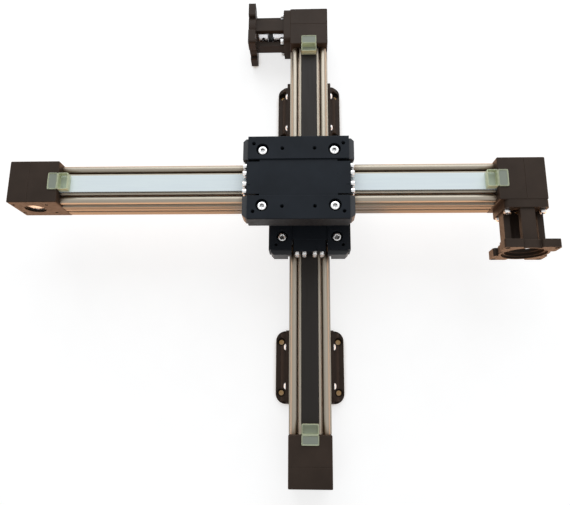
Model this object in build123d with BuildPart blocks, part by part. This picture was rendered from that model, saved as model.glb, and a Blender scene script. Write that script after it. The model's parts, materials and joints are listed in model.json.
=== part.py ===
"""Two-axis cartesian robot: a belt-driven roller module carried across another like it.

The lower module lies along Y on four angle feet. Its carriage takes a cross plate, and the plate
takes the upper module, which lies along X and ends in the tool carriage. Each module is drawn in
its own axes: u along its travel towards the drive end, v across, z up from its underside.
The origin is the middle of the foot bolt pattern on the mounting plane, +Z up, in millimetres.
"""
import os
from math import cos, pi, radians, sin, sqrt

from build123d import *

os.makedirs("parts", exist_ok=True)

# Profile, rails and side slots
profile_width = 45.0
profile_length = 450.0
shoulder_height = 27.0
profile_corner = 1.2
rail_diameter = 8.0
rail_spacing = 33.6
rail_axis_height = 32.0
cradle_wall = 0.9
cradle_rise = 1.6
cradle_bite = 2.6
lip_gap = 18.8
lip_wall = 2.0
lip_height = 34.5
channel_floor = 29.5
groove_floor = 24.5
slot_height = 12.5
slot_mouth = 4.0
slot_wall = 2.2
slot_pocket_height = 8.4
slot_pocket_depth = 4.2
side_groove_height = 21.5
side_groove_size = 1.6
core_width = 15.0
core_height = 8.0
core_wall = 3.0

# Toothed belt and its pulleys
belt_pitch = 3.0
pulley_teeth = 30
belt_back = 0.7
belt_root = 0.5
tooth_height = 1.1
tooth_base = 1.9
tooth_tip = 1.2
belt_width = 18.0
belt_room = 1.2
belt_gap = 0.3
pulley_flange = 1.0
pulley_flange_rise = 1.3
shaft_diameter = 10.0
shaft_collar = 14.0

# End housings, each split on its pulley axis
housing_height = 45.0
idler_length = 52.0
drive_length = 48.0
axis_inset = 21.0
housing_edge = 1.2
seam_bevel = 0.35
bearing_diameter = 22.0
bearing_width = 6.0
bearing_seat_depth = 8.3
bearing_shoulder = 1.5
bearing_recess = 0.5
circlip_thickness = 1.0
circlip_depth = 0.5
circlip_band = 1.7
circlip_opening = 40.0
side_hole_span = 35.0
side_hole_rise = 26.0
side_hole_depth = 8.0
side_screw_core = 3.4
end_screw_margin = 4.3
end_screw_length = 28.0
end_head_diameter = 5.5
end_head_height = 3.0
end_core = 2.8

# Cap screws of the motor adapters
cap_head_diameter = 7.0
cap_head_height = 4.0
cap_core = 3.4
cap_room = 0.3

# Rubber bumpers on the inner edges of the housings
bumper_width = 18.0
bumper_seat = 10.2
bumper_reach = 11.0
bumper_floor = 1.6
bumper_rim = 1.2
bumper_rim_rise = 0.8
bumper_top = 1.6

# Motor adapter: base plate, four bars and motor flange
adapter_base = 44.0
adapter_base_thickness = 8.0
adapter_corner = 5.0
adapter_neck = 40.0
adapter_bar = 14.2
adapter_bore = 31.0
adapter_length = 50.5
flange_size = 54.5
flange_thickness = 8.5
flange_corner = 2.5
flange_disc = 49.0
flange_ear_gap = 18.0
relief_diameter = 44.5
relief_depth = 2.0
pilot_diameter = 38.1
pilot_depth = 3.0
motor_hole_span = 47.14
motor_hole = 5.0
adapter_screw_length = 8.0

# Shaft coupling of the lower module
coupling_diameter = 24.0
hub_length = 12.0
motor_hub_length = 10.4
disc_thickness = 4.6
inner_float = 2.0
outer_float = 1.0
tongue_width = 6.0
tongue_grip = 1.6
tongue_room = 0.15
motor_shaft = 8.0
disc_bore = 10.4
set_screw = 4.0
set_screw_key = 2.0
set_screw_length = 5.0
set_screw_angle = 35.0
set_screw_inset = 3.0
coupling_start = 8.5
upper_shaft_stub = 7.0

# Carriage: centre block, two wings, end caps and belt clamps
carriage_top = 53.0
wing_length = 102.8
wing_outer = 44.5
wing_inner = 19.75
wing_bottom = 30.0
wing_ledge = 42.6
wing_side_room = 1.5
wing_edge = 1.0
block_length = 79.0
block_drop = 1.7
block_lift = 2.2
tongue_key = 3.0
clamp_length = 13.2
clamp_width = 34.5
clamp_drop = 0.15
clamp_slit = 0.6
clamp_slit_length = 4.0
clamp_slit_v = -7.8
cap_length = 5.2
cap_inset = 2.3
cap_drop = 2.6
cap_bevel = 3.0
clamp_screw_columns = (-13.5, -5.7, 5.7, 13.5)
clamp_screw_rows = (41.3, 48.2)
clamp_screw_head = 5.5
clamp_screw_proud = 3.9
clamp_screw_core = 2.8
clamp_screw_grip = 9.0
payload_hole = 4.2
payload_depth = 15.0
inner_hole_u = 16.4
inner_hole_v = 31.0
corner_hole_u = 45.6
corner_hole_v = 36.3
corner_hole = 4.2
corner_hole_depth = 10.0

# Grooved guide rollers and their shoulder bolts
roller_u = 36.6
roller_v = 29.8
roller_diameter = 22.8
roller_width = 9.2
roller_gap = 0.1
roller_recess = 0.6
roller_recess_width = 3.0
roller_pocket_room = 1.4
roller_pocket_top = 38.0
bolt_shank = 6.0
bolt_head = 9.0
bolt_head_height = 4.2
bolt_counterbore = 13.0
bolt_counterbore_depth = 6.2
bolt_socket = 4.0
bolt_socket_depth = 2.2
bolt_washer = 10.0
bolt_nut = 9.0
bolt_nut_height = 2.4
fit_gap = 0.05

# Angle feet with their screws and slot nuts
foot_raise = 8.0
foot_length = 80.0
foot_reach = 15.5
foot_wall = 3.8
foot_wall_height = 17.5
foot_corner = 11.0
foot_wall_corner = 9.0
foot_fillet = 6.5
foot_fillet_inset = 3.0
foot_station = 153.0
foot_hole_span = 56.0
foot_hole_offset = 9.6
foot_hole = 5.6
foot_counterbore = 9.5
foot_counterbore_depth = 5.0
foot_screw_span = 42.0
foot_screw_head = 7.6
foot_screw_head_height = 2.2
foot_screw_core = 3.8
slot_nut_length = 12.0
slot_nut_room = 0.2

# Cross plate, side clamps and M5 screws between the modules
cross_plate_thickness = 8.0
cross_plate_length = 84.0
cross_plate_margin = 10.0
cross_plate_corner = 4.0
side_clamp_length = 60.0
side_clamp_width = 10.0
side_clamp_height = 15.4
side_clamp_lip = 1.8
cross_screw_pitch = 40.0
cross_screw_head = 8.5
cross_screw_head_height = 5.0
cross_screw_core = 4.2
cross_screw_length = 16.0

# Where the photographed pose places the carriages and the upper module
lower_carriage_u = 20.7
upper_carriage_u = 26.3
cross_offset = 8.8
upper_shift = -37.6

# Sizes that follow from the ones above
half_width = profile_width / 2
rail_radius = rail_diameter / 2
rail_v = rail_spacing / 2
rail_top = rail_axis_height + rail_radius
pitch_radius = belt_pitch * pulley_teeth / (2 * pi)
axis_height = housing_height / 2
module_half = (profile_length + idler_length + drive_length) / 2
idler_axis_u = -module_half + axis_inset
drive_axis_u = module_half - axis_inset
profile_start = -module_half + idler_length
profile_end = module_half - drive_length
profile_middle = (profile_start + profile_end) / 2
belt_back_radius = pitch_radius + belt_back
belt_root_radius = pitch_radius - belt_root
belt_top = axis_height + belt_back_radius
end_screw_offset = half_width - end_screw_margin
end_seat_depth = end_head_height + cap_room
block_bottom = rail_top + block_lift
block_top = carriage_top - block_drop
key_middle = (block_bottom + block_top + tongue_key) / 2
bearing_inner_v = half_width - bearing_seat_depth
circlip_inner_v = bearing_inner_v + bearing_width
roller_root_radius = roller_v - rail_v - rail_radius - roller_gap
clamp_end_u = block_length / 2 + clamp_length
upper_base_z = foot_raise + carriage_top + cross_plate_thickness

lower_module = Plane(origin=(0, 0, foot_raise), x_dir=(0, 1, 0), z_dir=(0, 0, 1))
upper_module = Plane(
    origin=(upper_shift, lower_carriage_u + cross_offset, upper_base_z),
    x_dir=(1, 0, 0),
    z_dir=(0, 0, 1),
)


def place(module, u, v, z):
    """A work plane at (u, v, z) of a module, facing up."""
    return Plane(module.from_local_coords((u, v, z)), x_dir=module.x_dir, z_dir=module.z_dir)


def place_along(module, u, v=0.0, z=0.0):
    """A work plane that faces along the travel: its x is across, its y is up."""
    return Plane(module.from_local_coords((u, v, z)), x_dir=module.y_dir, z_dir=module.x_dir)


def place_across(module, u, v, z, side=1):
    """A work plane that faces across, out of the given side: its y is up."""
    facing = module.y_dir * side
    return Plane(module.from_local_coords((u, v, z)), x_dir=module.x_dir * -side, z_dir=facing)


def save(piece, name):
    """Label a finished piece and write it."""
    piece.part.label = name
    export_step(piece.part, f"parts/{name}.step")


def cap_screw(plane, head_diameter, head_height, core, length):
    """A cap screw whose head seats on the plane and whose shank goes down behind it."""
    with BuildPart(mode=Mode.PRIVATE) as screw:
        with BuildSketch(plane):
            Circle(head_diameter / 2)
        extrude(amount=head_height)
        with BuildSketch(plane):
            Circle(core / 2 - fit_gap)
        extrude(amount=-length)
    return screw.part


# Extruded profile with its belt channel, rail cradles and slots
def profile_section():
    """Half outline of the profile for v > 0, mirrored to the whole section."""
    cradle_outer = rail_v + cradle_wall
    cradle_inner = rail_v - cradle_bite
    lip_outer = lip_gap / 2 + lip_wall
    with BuildSketch(mode=Mode.PRIVATE) as section:
        with BuildLine():
            Polyline(
                (0, 0),
                (half_width, 0),
                (half_width, shoulder_height),
                (cradle_outer, shoulder_height),
                (cradle_outer, rail_axis_height - rail_radius + cradle_rise),
                (rail_v, rail_axis_height),
                (cradle_inner, rail_axis_height),
                (cradle_inner, groove_floor),
                (lip_outer, groove_floor),
                (lip_outer, lip_height),
                (lip_gap / 2, lip_height),
                (lip_gap / 2, channel_floor),
                (0, channel_floor),
                close=True,
            )
        make_face()
        mirror(about=Plane.YZ)
    return section.sketch


def make_profile(name, module):
    chamber_width = belt_width + 2 * belt_room
    chamber_low = axis_height - belt_back_radius - belt_room
    chamber_high = axis_height - belt_root_radius + tooth_height + belt_room
    with BuildPart() as profile:
        with BuildSketch(place_along(module, profile_start)) as section:
            add(profile_section())
            fillet(section.vertices().group_by(Axis.Y)[0].sort_by(Axis.X)[0], profile_corner)
            fillet(section.vertices().group_by(Axis.Y)[0].sort_by(Axis.X)[-1], profile_corner)
            with Locations((rail_v, rail_axis_height), (-rail_v, rail_axis_height)):
                Circle(rail_radius, mode=Mode.SUBTRACT)
            with Locations((0, (chamber_low + chamber_high) / 2)):
                Rectangle(chamber_width, chamber_high - chamber_low, mode=Mode.SUBTRACT)
            with Locations((0, chamber_high + core_wall + core_height / 2)):
                RectangleRounded(core_width, core_height, core_wall / 2, mode=Mode.SUBTRACT)
            for side in (1, -1):
                with Locations((side * (half_width - slot_wall / 2), slot_height)):
                    Rectangle(slot_wall, slot_mouth, mode=Mode.SUBTRACT)
                pocket_v = half_width - slot_wall - slot_pocket_depth / 2
                with Locations((side * pocket_v, slot_height)):
                    Rectangle(slot_pocket_depth, slot_pocket_height, mode=Mode.SUBTRACT)
                with Locations((side * half_width, side_groove_height)):
                    Rectangle(side_groove_size, side_groove_size, rotation=45, mode=Mode.SUBTRACT)
        extrude(amount=profile_length)
    save(profile, name)


def make_rails(name, module):
    with BuildPart() as rails:
        with BuildSketch(place_along(module, profile_start, z=rail_axis_height)):
            with Locations((rail_v, 0), (-rail_v, 0)):
                Circle(rail_radius)
        extrude(amount=profile_length)
    save(rails, name)


# Belt loop: a band round both pulleys, toothed where it shows between the housings
def make_belt(name, module):
    run = drive_axis_u - idler_axis_u
    middle = (drive_axis_u + idler_axis_u) / 2
    teeth = int(profile_length / belt_pitch)
    root_height = axis_height + belt_root_radius
    with BuildPart() as belt:
        with BuildSketch(place_across(module, middle, 0, axis_height)):
            SlotCenterToCenter(run, 2 * belt_back_radius)
            SlotCenterToCenter(run, 2 * belt_root_radius, mode=Mode.SUBTRACT)
        with BuildSketch(place_across(module, profile_middle, 0, root_height)):
            with GridLocations(belt_pitch, 0, teeth, 1):
                Polygon(
                    (-tooth_base / 2, belt_back / 2),
                    (-tooth_base / 2, 0),
                    (-tooth_tip / 2, -tooth_height),
                    (tooth_tip / 2, -tooth_height),
                    (tooth_base / 2, 0),
                    (tooth_base / 2, belt_back / 2),
                    align=None,
                )
        extrude(amount=belt_width / 2, both=True)
    save(belt, name)


# End housing with the pulley chamber, bearing seats and screw holes, whole before its split
def housing_block(module, start, end, axis_u, outward):
    """The housing from u = start to end; outward is the sign of the outer end face."""
    middle = (start + end) / 2
    outer_face = end if outward > 0 else start
    inner_face = start if outward > 0 else end
    chamber_radius = belt_back_radius + belt_room
    chamber_half = belt_width / 2 + belt_gap + pulley_flange + belt_room / 2
    with BuildPart(mode=Mode.PRIVATE) as block:
        with BuildSketch(place(module, middle, 0, 0)):
            Rectangle(end - start, profile_width)
        extrude(amount=housing_height)
        fillet(block.edges().filter_by(Axis.Z), housing_edge)
        chamfer(block.faces().sort_by(Axis.Z)[-1].edges(), housing_edge / 2)
        with BuildSketch(place_across(module, axis_u, 0, axis_height)):
            Circle(chamber_radius)
            reach = abs(inner_face - axis_u)
            with Locations((outward * reach / 2, 0)):
                Rectangle(reach, 2 * chamber_radius)
        extrude(amount=chamber_half, both=True, mode=Mode.SUBTRACT)
        with BuildSketch(place_across(module, axis_u, 0, axis_height)):
            Circle(bearing_diameter / 2 - bearing_shoulder)
        extrude(amount=half_width, both=True, mode=Mode.SUBTRACT)
        for side in (1, -1):
            with BuildSketch(place_across(module, axis_u, side * half_width, axis_height, side)):
                Circle(bearing_diameter / 2)
            extrude(amount=-bearing_seat_depth, mode=Mode.SUBTRACT)
            groove_v = side * (circlip_inner_v + circlip_thickness + fit_gap)
            with BuildSketch(place_across(module, axis_u, groove_v, axis_height, side)):
                Circle(bearing_diameter / 2 + circlip_depth)
            extrude(amount=-(circlip_thickness + fit_gap), mode=Mode.SUBTRACT)
            with BuildSketch(place_across(module, axis_u, side * half_width, axis_height, side)):
                with GridLocations(side_hole_span, side_hole_rise, 2, 2):
                    Circle(side_screw_core / 2)
            extrude(amount=-side_hole_depth, mode=Mode.SUBTRACT)
        with BuildSketch(place_along(module, outer_face, z=axis_height)):
            with GridLocations(2 * end_screw_offset, 2 * end_screw_offset, 2, 2):
                Circle(end_head_diameter / 2 + cap_room)
        extrude(amount=-outward * end_seat_depth, mode=Mode.SUBTRACT)
        with BuildSketch(place_along(module, outer_face, z=axis_height)):
            with GridLocations(2 * end_screw_offset, 2 * end_screw_offset, 2, 2):
                Circle(end_core / 2)
        hole_depth = end_seat_depth + end_screw_length + cap_room
        extrude(amount=-outward * hole_depth, mode=Mode.SUBTRACT)
    return block.part


def make_housing(name, module, start, end, axis_u, outward):
    """Split the block on the pulley axis: the housing inside, its cover outside."""
    block = housing_block(module, start, end, axis_u, outward)
    seam = place_along(module, axis_u)
    inner_side = Keep.BOTTOM if outward > 0 else Keep.TOP
    outer_side = Keep.TOP if outward > 0 else Keep.BOTTOM
    for piece_name, kept in ((f"{name}_housing", inner_side), (f"{name}_cover", outer_side)):
        with BuildPart() as piece:
            add(block)
            split(bisect_by=seam, keep=kept)
            top_edges = piece.faces().sort_by(Axis.Z)[-1].edges()
            seam_top = module.from_local_coords((axis_u, 0, housing_height))
            chamfer(top_edges.sort_by_distance(seam_top)[0], seam_bevel)
        save(piece, piece_name)


def make_housing_screws(name, module):
    """Four long screws through each cover into its housing."""
    with BuildPart() as screws:
        for outward in (-1, 1):
            seat_u = outward * (module_half - end_seat_depth)
            for v in (-end_screw_offset, end_screw_offset):
                for rise in (-end_screw_offset, end_screw_offset):
                    origin = module.from_local_coords((seat_u, v, axis_height + rise))
                    seat = Plane(origin, x_dir=module.y_dir, z_dir=module.x_dir * outward)
                    add(cap_screw(seat, end_head_diameter, end_head_height, end_core, end_screw_length))
    save(screws, name)


def make_bearings(name, module):
    """Four deep-groove ball bearings, two to each pulley shaft."""
    with BuildPart() as bearings:
        for axis_u in (idler_axis_u, drive_axis_u):
            for side in (1, -1):
                inner = place_across(module, axis_u, side * bearing_inner_v, axis_height, side)
                with BuildSketch(inner):
                    Circle(bearing_diameter / 2 - fit_gap / 2)
                    Circle(shaft_diameter / 2 + fit_gap, mode=Mode.SUBTRACT)
                extrude(amount=bearing_width)
                with BuildSketch(inner.offset(bearing_width)):
                    Circle(bearing_diameter / 2 - bearing_shoulder)
                    Circle(shaft_diameter / 2 + bearing_shoulder, mode=Mode.SUBTRACT)
                extrude(amount=-bearing_recess, mode=Mode.SUBTRACT)
    save(bearings, name)


def make_circlips(name, module):
    """Open retaining rings in the grooves outside the bearings."""
    with BuildPart() as circlips:
        for axis_u in (idler_axis_u, drive_axis_u):
            for side in (1, -1):
                seat_v = side * (circlip_inner_v + fit_gap)
                with BuildSketch(place_across(module, axis_u, seat_v, axis_height, side)):
                    Circle(bearing_diameter / 2 + circlip_depth - fit_gap)
                    Circle(bearing_diameter / 2 - circlip_band, mode=Mode.SUBTRACT)
                    with BuildLine():
                        reach = bearing_diameter
                        half_angle = radians(circlip_opening / 2)
                        Polyline(
                            (0, 0),
                            (reach * sin(half_angle), -reach * cos(half_angle)),
                            (-reach * sin(half_angle), -reach * cos(half_angle)),
                            close=True,
                        )
                    make_face(mode=Mode.SUBTRACT)
                extrude(amount=circlip_thickness - fit_gap)
    save(circlips, name)


# Toothed pulley, flanges, collars and shaft turned as one
def pulley_teeth_outline():
    """A ring of flat-bottomed gaps as wide as the belt's teeth."""
    tip_radius = belt_root_radius - belt_gap
    Circle(tip_radius)
    with PolarLocations(tip_radius, pulley_teeth):
        Rectangle(2 * tooth_height, tooth_base, mode=Mode.SUBTRACT)


def make_pulley(name, module, axis_u, low_v, high_v):
    """The shaft runs from v = low_v to high_v."""
    face_half = belt_width / 2 + belt_gap
    with BuildPart() as pulley:
        with BuildSketch(place_across(module, axis_u, 0, axis_height)):
            pulley_teeth_outline()
        extrude(amount=face_half, both=True)
        for side in (1, -1):
            with BuildSketch(place_across(module, axis_u, side * face_half, axis_height, side)):
                Circle(pitch_radius + pulley_flange_rise)
            extrude(amount=pulley_flange)
            with BuildSketch(place_across(module, axis_u, side * face_half, axis_height, side)):
                Circle(shaft_collar / 2)
            extrude(amount=bearing_inner_v - face_half - fit_gap)
        with BuildSketch(place_across(module, axis_u, low_v, axis_height)):
            Circle(shaft_diameter / 2)
        extrude(amount=high_v - low_v)
    save(pulley, name)


# Rubber bumpers: a rimmed pad on the housing and a hollow box over the belt
def make_bumpers(name, module):
    box_bottom = belt_top + belt_room / 2
    box_top = housing_height + bumper_top
    box_hollow = box_top - box_bottom - bumper_floor
    inner_width = bumper_width - 2 * bumper_rim
    with BuildPart() as bumpers:
        for face_u, inward in ((profile_start, 1), (profile_end, -1)):
            pad_u = face_u - inward * bumper_seat / 2
            box_u = face_u + inward * bumper_reach / 2
            with BuildSketch(place(module, pad_u, 0, housing_height)):
                Rectangle(bumper_seat, bumper_width)
            extrude(amount=bumper_top)
            with BuildSketch(place(module, box_u, 0, box_bottom)):
                Rectangle(bumper_reach, bumper_width)
            extrude(amount=box_top - box_bottom)
            with BuildSketch(place(module, pad_u, 0, box_top)):
                Rectangle(bumper_seat - 2 * bumper_rim, inner_width)
            extrude(amount=-bumper_rim_rise, mode=Mode.SUBTRACT)
            with BuildSketch(place(module, box_u, 0, box_top)):
                Rectangle(bumper_reach - 2 * bumper_rim, inner_width)
            extrude(amount=-box_hollow, mode=Mode.SUBTRACT)
        far_corners = bumpers.edges().filter_by(Axis.Z).group_by(SortBy.LENGTH)[-1]
        fillet(far_corners, bumper_rim / 2)
    save(bumpers, name)


# Motor adapter: base plate, four bars with open corners, and the motor flange
def make_motor_adapter(name, module, side):
    base_v = side * half_width
    neck_start = side * (half_width + adapter_base_thickness)
    flange_start = side * (half_width + adapter_length - flange_thickness)
    flange_end = side * (half_width + adapter_length)
    neck_length = adapter_length - adapter_base_thickness - flange_thickness
    ear = (flange_size - flange_ear_gap) / 2
    with BuildPart() as adapter:
        with BuildSketch(place_across(module, drive_axis_u, base_v, axis_height, side)):
            RectangleRounded(adapter_base, adapter_base, adapter_corner)
        extrude(amount=adapter_base_thickness)
        with BuildSketch(place_across(module, drive_axis_u, neck_start, axis_height, side)):
            Rectangle(adapter_neck, adapter_bar)
            Rectangle(adapter_bar, adapter_neck)
        extrude(amount=neck_length)
        with BuildSketch(place_across(module, drive_axis_u, flange_start, axis_height, side)):
            Circle(flange_disc / 2)
            with GridLocations(flange_size - ear, flange_size - ear, 2, 2):
                RectangleRounded(ear, ear, flange_corner)
        extrude(amount=flange_thickness)
        with BuildSketch(place_across(module, drive_axis_u, base_v, axis_height, side)):
            Circle(adapter_bore / 2)
        extrude(amount=adapter_length, mode=Mode.SUBTRACT)
        with BuildSketch(place_across(module, drive_axis_u, flange_end, axis_height, side)):
            Circle(relief_diameter / 2)
        extrude(amount=-relief_depth, mode=Mode.SUBTRACT)
        with BuildSketch(place_across(module, drive_axis_u, flange_end, axis_height, side)):
            Circle(pilot_diameter / 2)
        extrude(amount=-(relief_depth + pilot_depth), mode=Mode.SUBTRACT)
        with BuildSketch(place_across(module, drive_axis_u, flange_end, axis_height, side)):
            with GridLocations(motor_hole_span, motor_hole_span, 2, 2):
                Circle(motor_hole / 2)
        extrude(amount=-flange_thickness, mode=Mode.SUBTRACT)
        with BuildSketch(place_across(module, drive_axis_u, base_v, axis_height, side)):
            with GridLocations(side_hole_span, side_hole_rise, 2, 2):
                Circle(cap_core / 2)
        extrude(amount=adapter_base_thickness, mode=Mode.SUBTRACT)
    save(adapter, name)


def make_adapter_screws(name, module, side):
    seat_v = side * (half_width + adapter_base_thickness)
    reach = adapter_base_thickness + side_hole_depth - cap_room
    with BuildPart() as screws:
        for u in (-side_hole_span / 2, side_hole_span / 2):
            for z in (-side_hole_rise / 2, side_hole_rise / 2):
                seat = place_across(module, drive_axis_u + u, seat_v, axis_height + z, side)
                add(cap_screw(seat, cap_head_diameter, cap_head_height, cap_core, reach))
    save(screws, name)


# Shaft coupling: two hubs and a floating disc with crossed tongues
def coupling_stations():
    """Distances from the pulley axis along the shaft, outwards, where each part of it starts."""
    inner_hub = half_width + coupling_start
    disc = inner_hub + hub_length + inner_float
    outer_hub = disc + disc_thickness + outer_float
    return inner_hub, disc, outer_hub


def coupling_hub(module, side, face, length, bore, reach, tongue, hole):
    """A hub from v = face outwards, with a tongue beyond one end and a set screw hole."""
    low = min(face, face + length, face + reach)
    high = max(face, face + length, face + reach)
    with BuildPart(mode=Mode.PRIVATE) as hub:
        with BuildSketch(place_across(module, drive_axis_u, side * face, axis_height, side)):
            Circle(coupling_diameter / 2)
        extrude(amount=length)
        with BuildSketch(place_across(module, drive_axis_u, side * face, axis_height, side)):
            Rectangle(*tongue)
            Circle(coupling_diameter / 2, mode=Mode.INTERSECT)
        extrude(amount=reach)
        with BuildSketch(place_across(module, drive_axis_u, side * low, axis_height, side)):
            Circle(bore / 2)
        extrude(amount=high - low, mode=Mode.SUBTRACT)
        with BuildSketch(hole):
            Circle(set_screw / 2)
        extrude(amount=-coupling_diameter / 2, mode=Mode.SUBTRACT)
    return hub.part


def make_coupling(name, module, side):
    inner_hub, disc, outer_hub = coupling_stations()
    inner_hole, outer_hole = set_screw_planes(module, side)
    inner_bore = shaft_diameter + 2 * fit_gap
    inner_reach = hub_length + inner_float + tongue_grip
    outer_reach = -outer_float - tongue_grip
    lying = (coupling_diameter, tongue_width)
    upright = (tongue_width, coupling_diameter)
    inner = (inner_hub, hub_length, inner_bore, inner_reach, lying, inner_hole)
    outer = (outer_hub, motor_hub_length, motor_shaft, outer_reach, upright, outer_hole)
    with BuildPart() as hubs:
        add(coupling_hub(module, side, *inner))
        add(coupling_hub(module, side, *outer))
    save(hubs, f"{name}_hubs")
    with BuildPart() as centre_disc:
        with BuildSketch(place_across(module, drive_axis_u, side * disc, axis_height, side)):
            Circle(coupling_diameter / 2)
            Circle(disc_bore / 2, mode=Mode.SUBTRACT)
        extrude(amount=disc_thickness)
        groove = tongue_width + 2 * tongue_room
        with BuildSketch(place_across(module, drive_axis_u, side * disc, axis_height, side)):
            Rectangle(2 * coupling_diameter, groove)
        extrude(amount=tongue_grip + tongue_room, mode=Mode.SUBTRACT)
        disc_end = side * (disc + disc_thickness)
        with BuildSketch(place_across(module, drive_axis_u, disc_end, axis_height, side)):
            Rectangle(groove, 2 * coupling_diameter)
        extrude(amount=-(tongue_grip + tongue_room), mode=Mode.SUBTRACT)
    save(centre_disc, f"{name}_disc")
    with BuildPart() as screws:
        for hole in set_screw_planes(module, side):
            with BuildSketch(hole.offset(-cap_room)):
                Circle(set_screw / 2 - fit_gap)
                RegularPolygon(set_screw_key / sqrt(3), 6, mode=Mode.SUBTRACT)
            extrude(amount=-set_screw_length)
    save(screws, f"{name}_screws")


def set_screw_planes(module, side):
    """Planes on the rims of the two hubs, tilted to face the open corner of the adapter."""
    inner_hub, _, outer_hub = coupling_stations()
    tilt = radians(set_screw_angle)
    outwards = module.x_dir * -cos(tilt) + module.z_dir * sin(tilt)
    planes = []
    for station in (inner_hub + set_screw_inset, outer_hub + motor_hub_length / 2):
        centre = Vector(module.from_local_coords((drive_axis_u, side * station, axis_height)))
        rim = centre + outwards * (coupling_diameter / 2)
        planes.append(Plane(rim, x_dir=module.y_dir, z_dir=outwards))
    return planes


# Carriage centre block with side keys and screw holes for the belt clamps
def make_carriage_block(name, module, carriage_u):
    with BuildPart() as block:
        with BuildSketch(place(module, carriage_u, 0, block_bottom)):
            Rectangle(block_length, 2 * wing_inner)
        extrude(amount=block_top - block_bottom)
        for side in (1, -1):
            with BuildSketch(place_across(module, carriage_u, side * wing_inner, key_middle, side)):
                Rectangle(block_length, tongue_key)
            extrude(amount=tongue_key / 2)
        for end in (1, -1):
            with BuildSketch(place_along(module, carriage_u + end * block_length / 2)):
                for z in clamp_screw_rows:
                    with Locations(*[(v, z) for v in clamp_screw_columns]):
                        Circle(clamp_screw_core / 2)
            extrude(amount=-end * clamp_screw_grip, mode=Mode.SUBTRACT)
    save(block, name)


# Carriage wing: an L section over the rail with roller pockets and payload holes
def wing_section(side, outer, top):
    """L-shaped section out to v = outer: deep outside the profile, shallow above the rail."""
    skirt = half_width + wing_side_room
    with BuildSketch(mode=Mode.PRIVATE) as section:
        with BuildLine():
            Polyline(
                (side * wing_inner, top),
                (side * wing_inner, wing_ledge),
                (side * skirt, wing_ledge),
                (side * skirt, wing_bottom),
                (side * outer, wing_bottom),
                (side * outer, top),
                close=True,
            )
        make_face()
    return section.sketch


def make_wing(name, module, carriage_u, side):
    start = place_along(module, carriage_u - wing_length / 2)
    with BuildPart() as wing:
        with BuildSketch(start):
            add(wing_section(side, wing_outer, carriage_top))
        extrude(amount=wing_length)
        top_edges = wing.faces().sort_by(Axis.Z)[-1].edges()
        outer_edge = top_edges.filter_by(Axis(module.origin, module.x_dir))
        outer_edge = outer_edge.sort_by(lambda edge: -abs(module.to_local_coords(edge.center()).Y))
        fillet(outer_edge[0], wing_edge)
        with BuildSketch(place_across(module, carriage_u, side * wing_inner, key_middle, side)):
            Rectangle(wing_length, tongue_key + 2 * fit_gap)
        extrude(amount=tongue_key / 2 + fit_gap, mode=Mode.SUBTRACT)
        with BuildSketch(place(module, carriage_u, side * roller_v, wing_bottom)):
            with Locations((roller_u, 0), (-roller_u, 0)):
                Circle(roller_diameter / 2 + roller_pocket_room)
        extrude(amount=roller_pocket_top - wing_bottom, mode=Mode.SUBTRACT)
        with BuildSketch(place(module, carriage_u, side * roller_v, carriage_top)):
            with Locations((roller_u, 0), (-roller_u, 0)):
                Circle(bolt_counterbore / 2)
        extrude(amount=-bolt_counterbore_depth, mode=Mode.SUBTRACT)
        with BuildSketch(place(module, carriage_u, side * roller_v, carriage_top)):
            with Locations((roller_u, 0), (-roller_u, 0)):
                Circle(bolt_shank / 2 + fit_gap)
        extrude(amount=roller_pocket_top - carriage_top, mode=Mode.SUBTRACT)
        with BuildSketch(place(module, carriage_u, side * inner_hole_v, carriage_top)):
            with Locations((inner_hole_u, 0), (-inner_hole_u, 0)):
                Circle(payload_hole / 2)
        extrude(amount=-payload_depth, mode=Mode.SUBTRACT)
        with BuildSketch(place(module, carriage_u, side * corner_hole_v, carriage_top)):
            with Locations((corner_hole_u, 0), (-corner_hole_u, 0)):
                Circle(corner_hole / 2)
        extrude(amount=-corner_hole_depth, mode=Mode.SUBTRACT)
    save(wing, name)


def make_wing_caps(name, module, carriage_u):
    """Wiper caps on the four wing ends, each with its outer corner cut off."""
    with BuildPart() as caps:
        for end in (1, -1):
            for side in (1, -1):
                start = place_along(module, carriage_u + end * wing_length / 2)
                with BuildSketch(start):
                    add(wing_section(side, wing_outer - cap_inset, carriage_top - cap_drop))
                extrude(amount=end * cap_length)
        outer_corners = caps.edges().filter_by(Axis.Z)
        outer_corners = outer_corners.filter_by(lambda edge: cap_corner(module, carriage_u, edge))
        chamfer(outer_corners, cap_bevel)
    save(caps, name)


def cap_corner(module, carriage_u, edge):
    """True for an upright edge at the outer far corner of a wiper cap."""
    point = module.to_local_coords(edge.center())
    far_u = wing_length / 2 + cap_length
    far_v = wing_outer - cap_inset
    return abs(abs(point.X - carriage_u) - far_u) < fit_gap and abs(abs(point.Y) - far_v) < fit_gap


def make_belt_clamps(name, module, carriage_u):
    """Two clamp blocks on the ends of the centre block, slit and drilled for their screws."""
    top = block_top - clamp_drop
    with BuildPart() as clamps:
        for end in (1, -1):
            middle = carriage_u + end * (block_length + clamp_length) / 2
            with BuildSketch(place(module, middle, 0, block_bottom)):
                Rectangle(clamp_length, clamp_width)
            extrude(amount=top - block_bottom)
            slit_u = carriage_u + end * (clamp_end_u - clamp_slit_length / 2)
            with BuildSketch(place(module, slit_u, clamp_slit_v, top)):
                Rectangle(clamp_slit_length, clamp_slit)
            extrude(amount=-clamp_slit_length, mode=Mode.SUBTRACT)
            with BuildSketch(place_along(module, carriage_u + end * clamp_end_u)):
                for z in clamp_screw_rows:
                    with Locations(*[(v, z) for v in clamp_screw_columns]):
                        Circle(clamp_screw_core / 2)
            extrude(amount=-end * clamp_length, mode=Mode.SUBTRACT)
    save(clamps, name)


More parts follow.
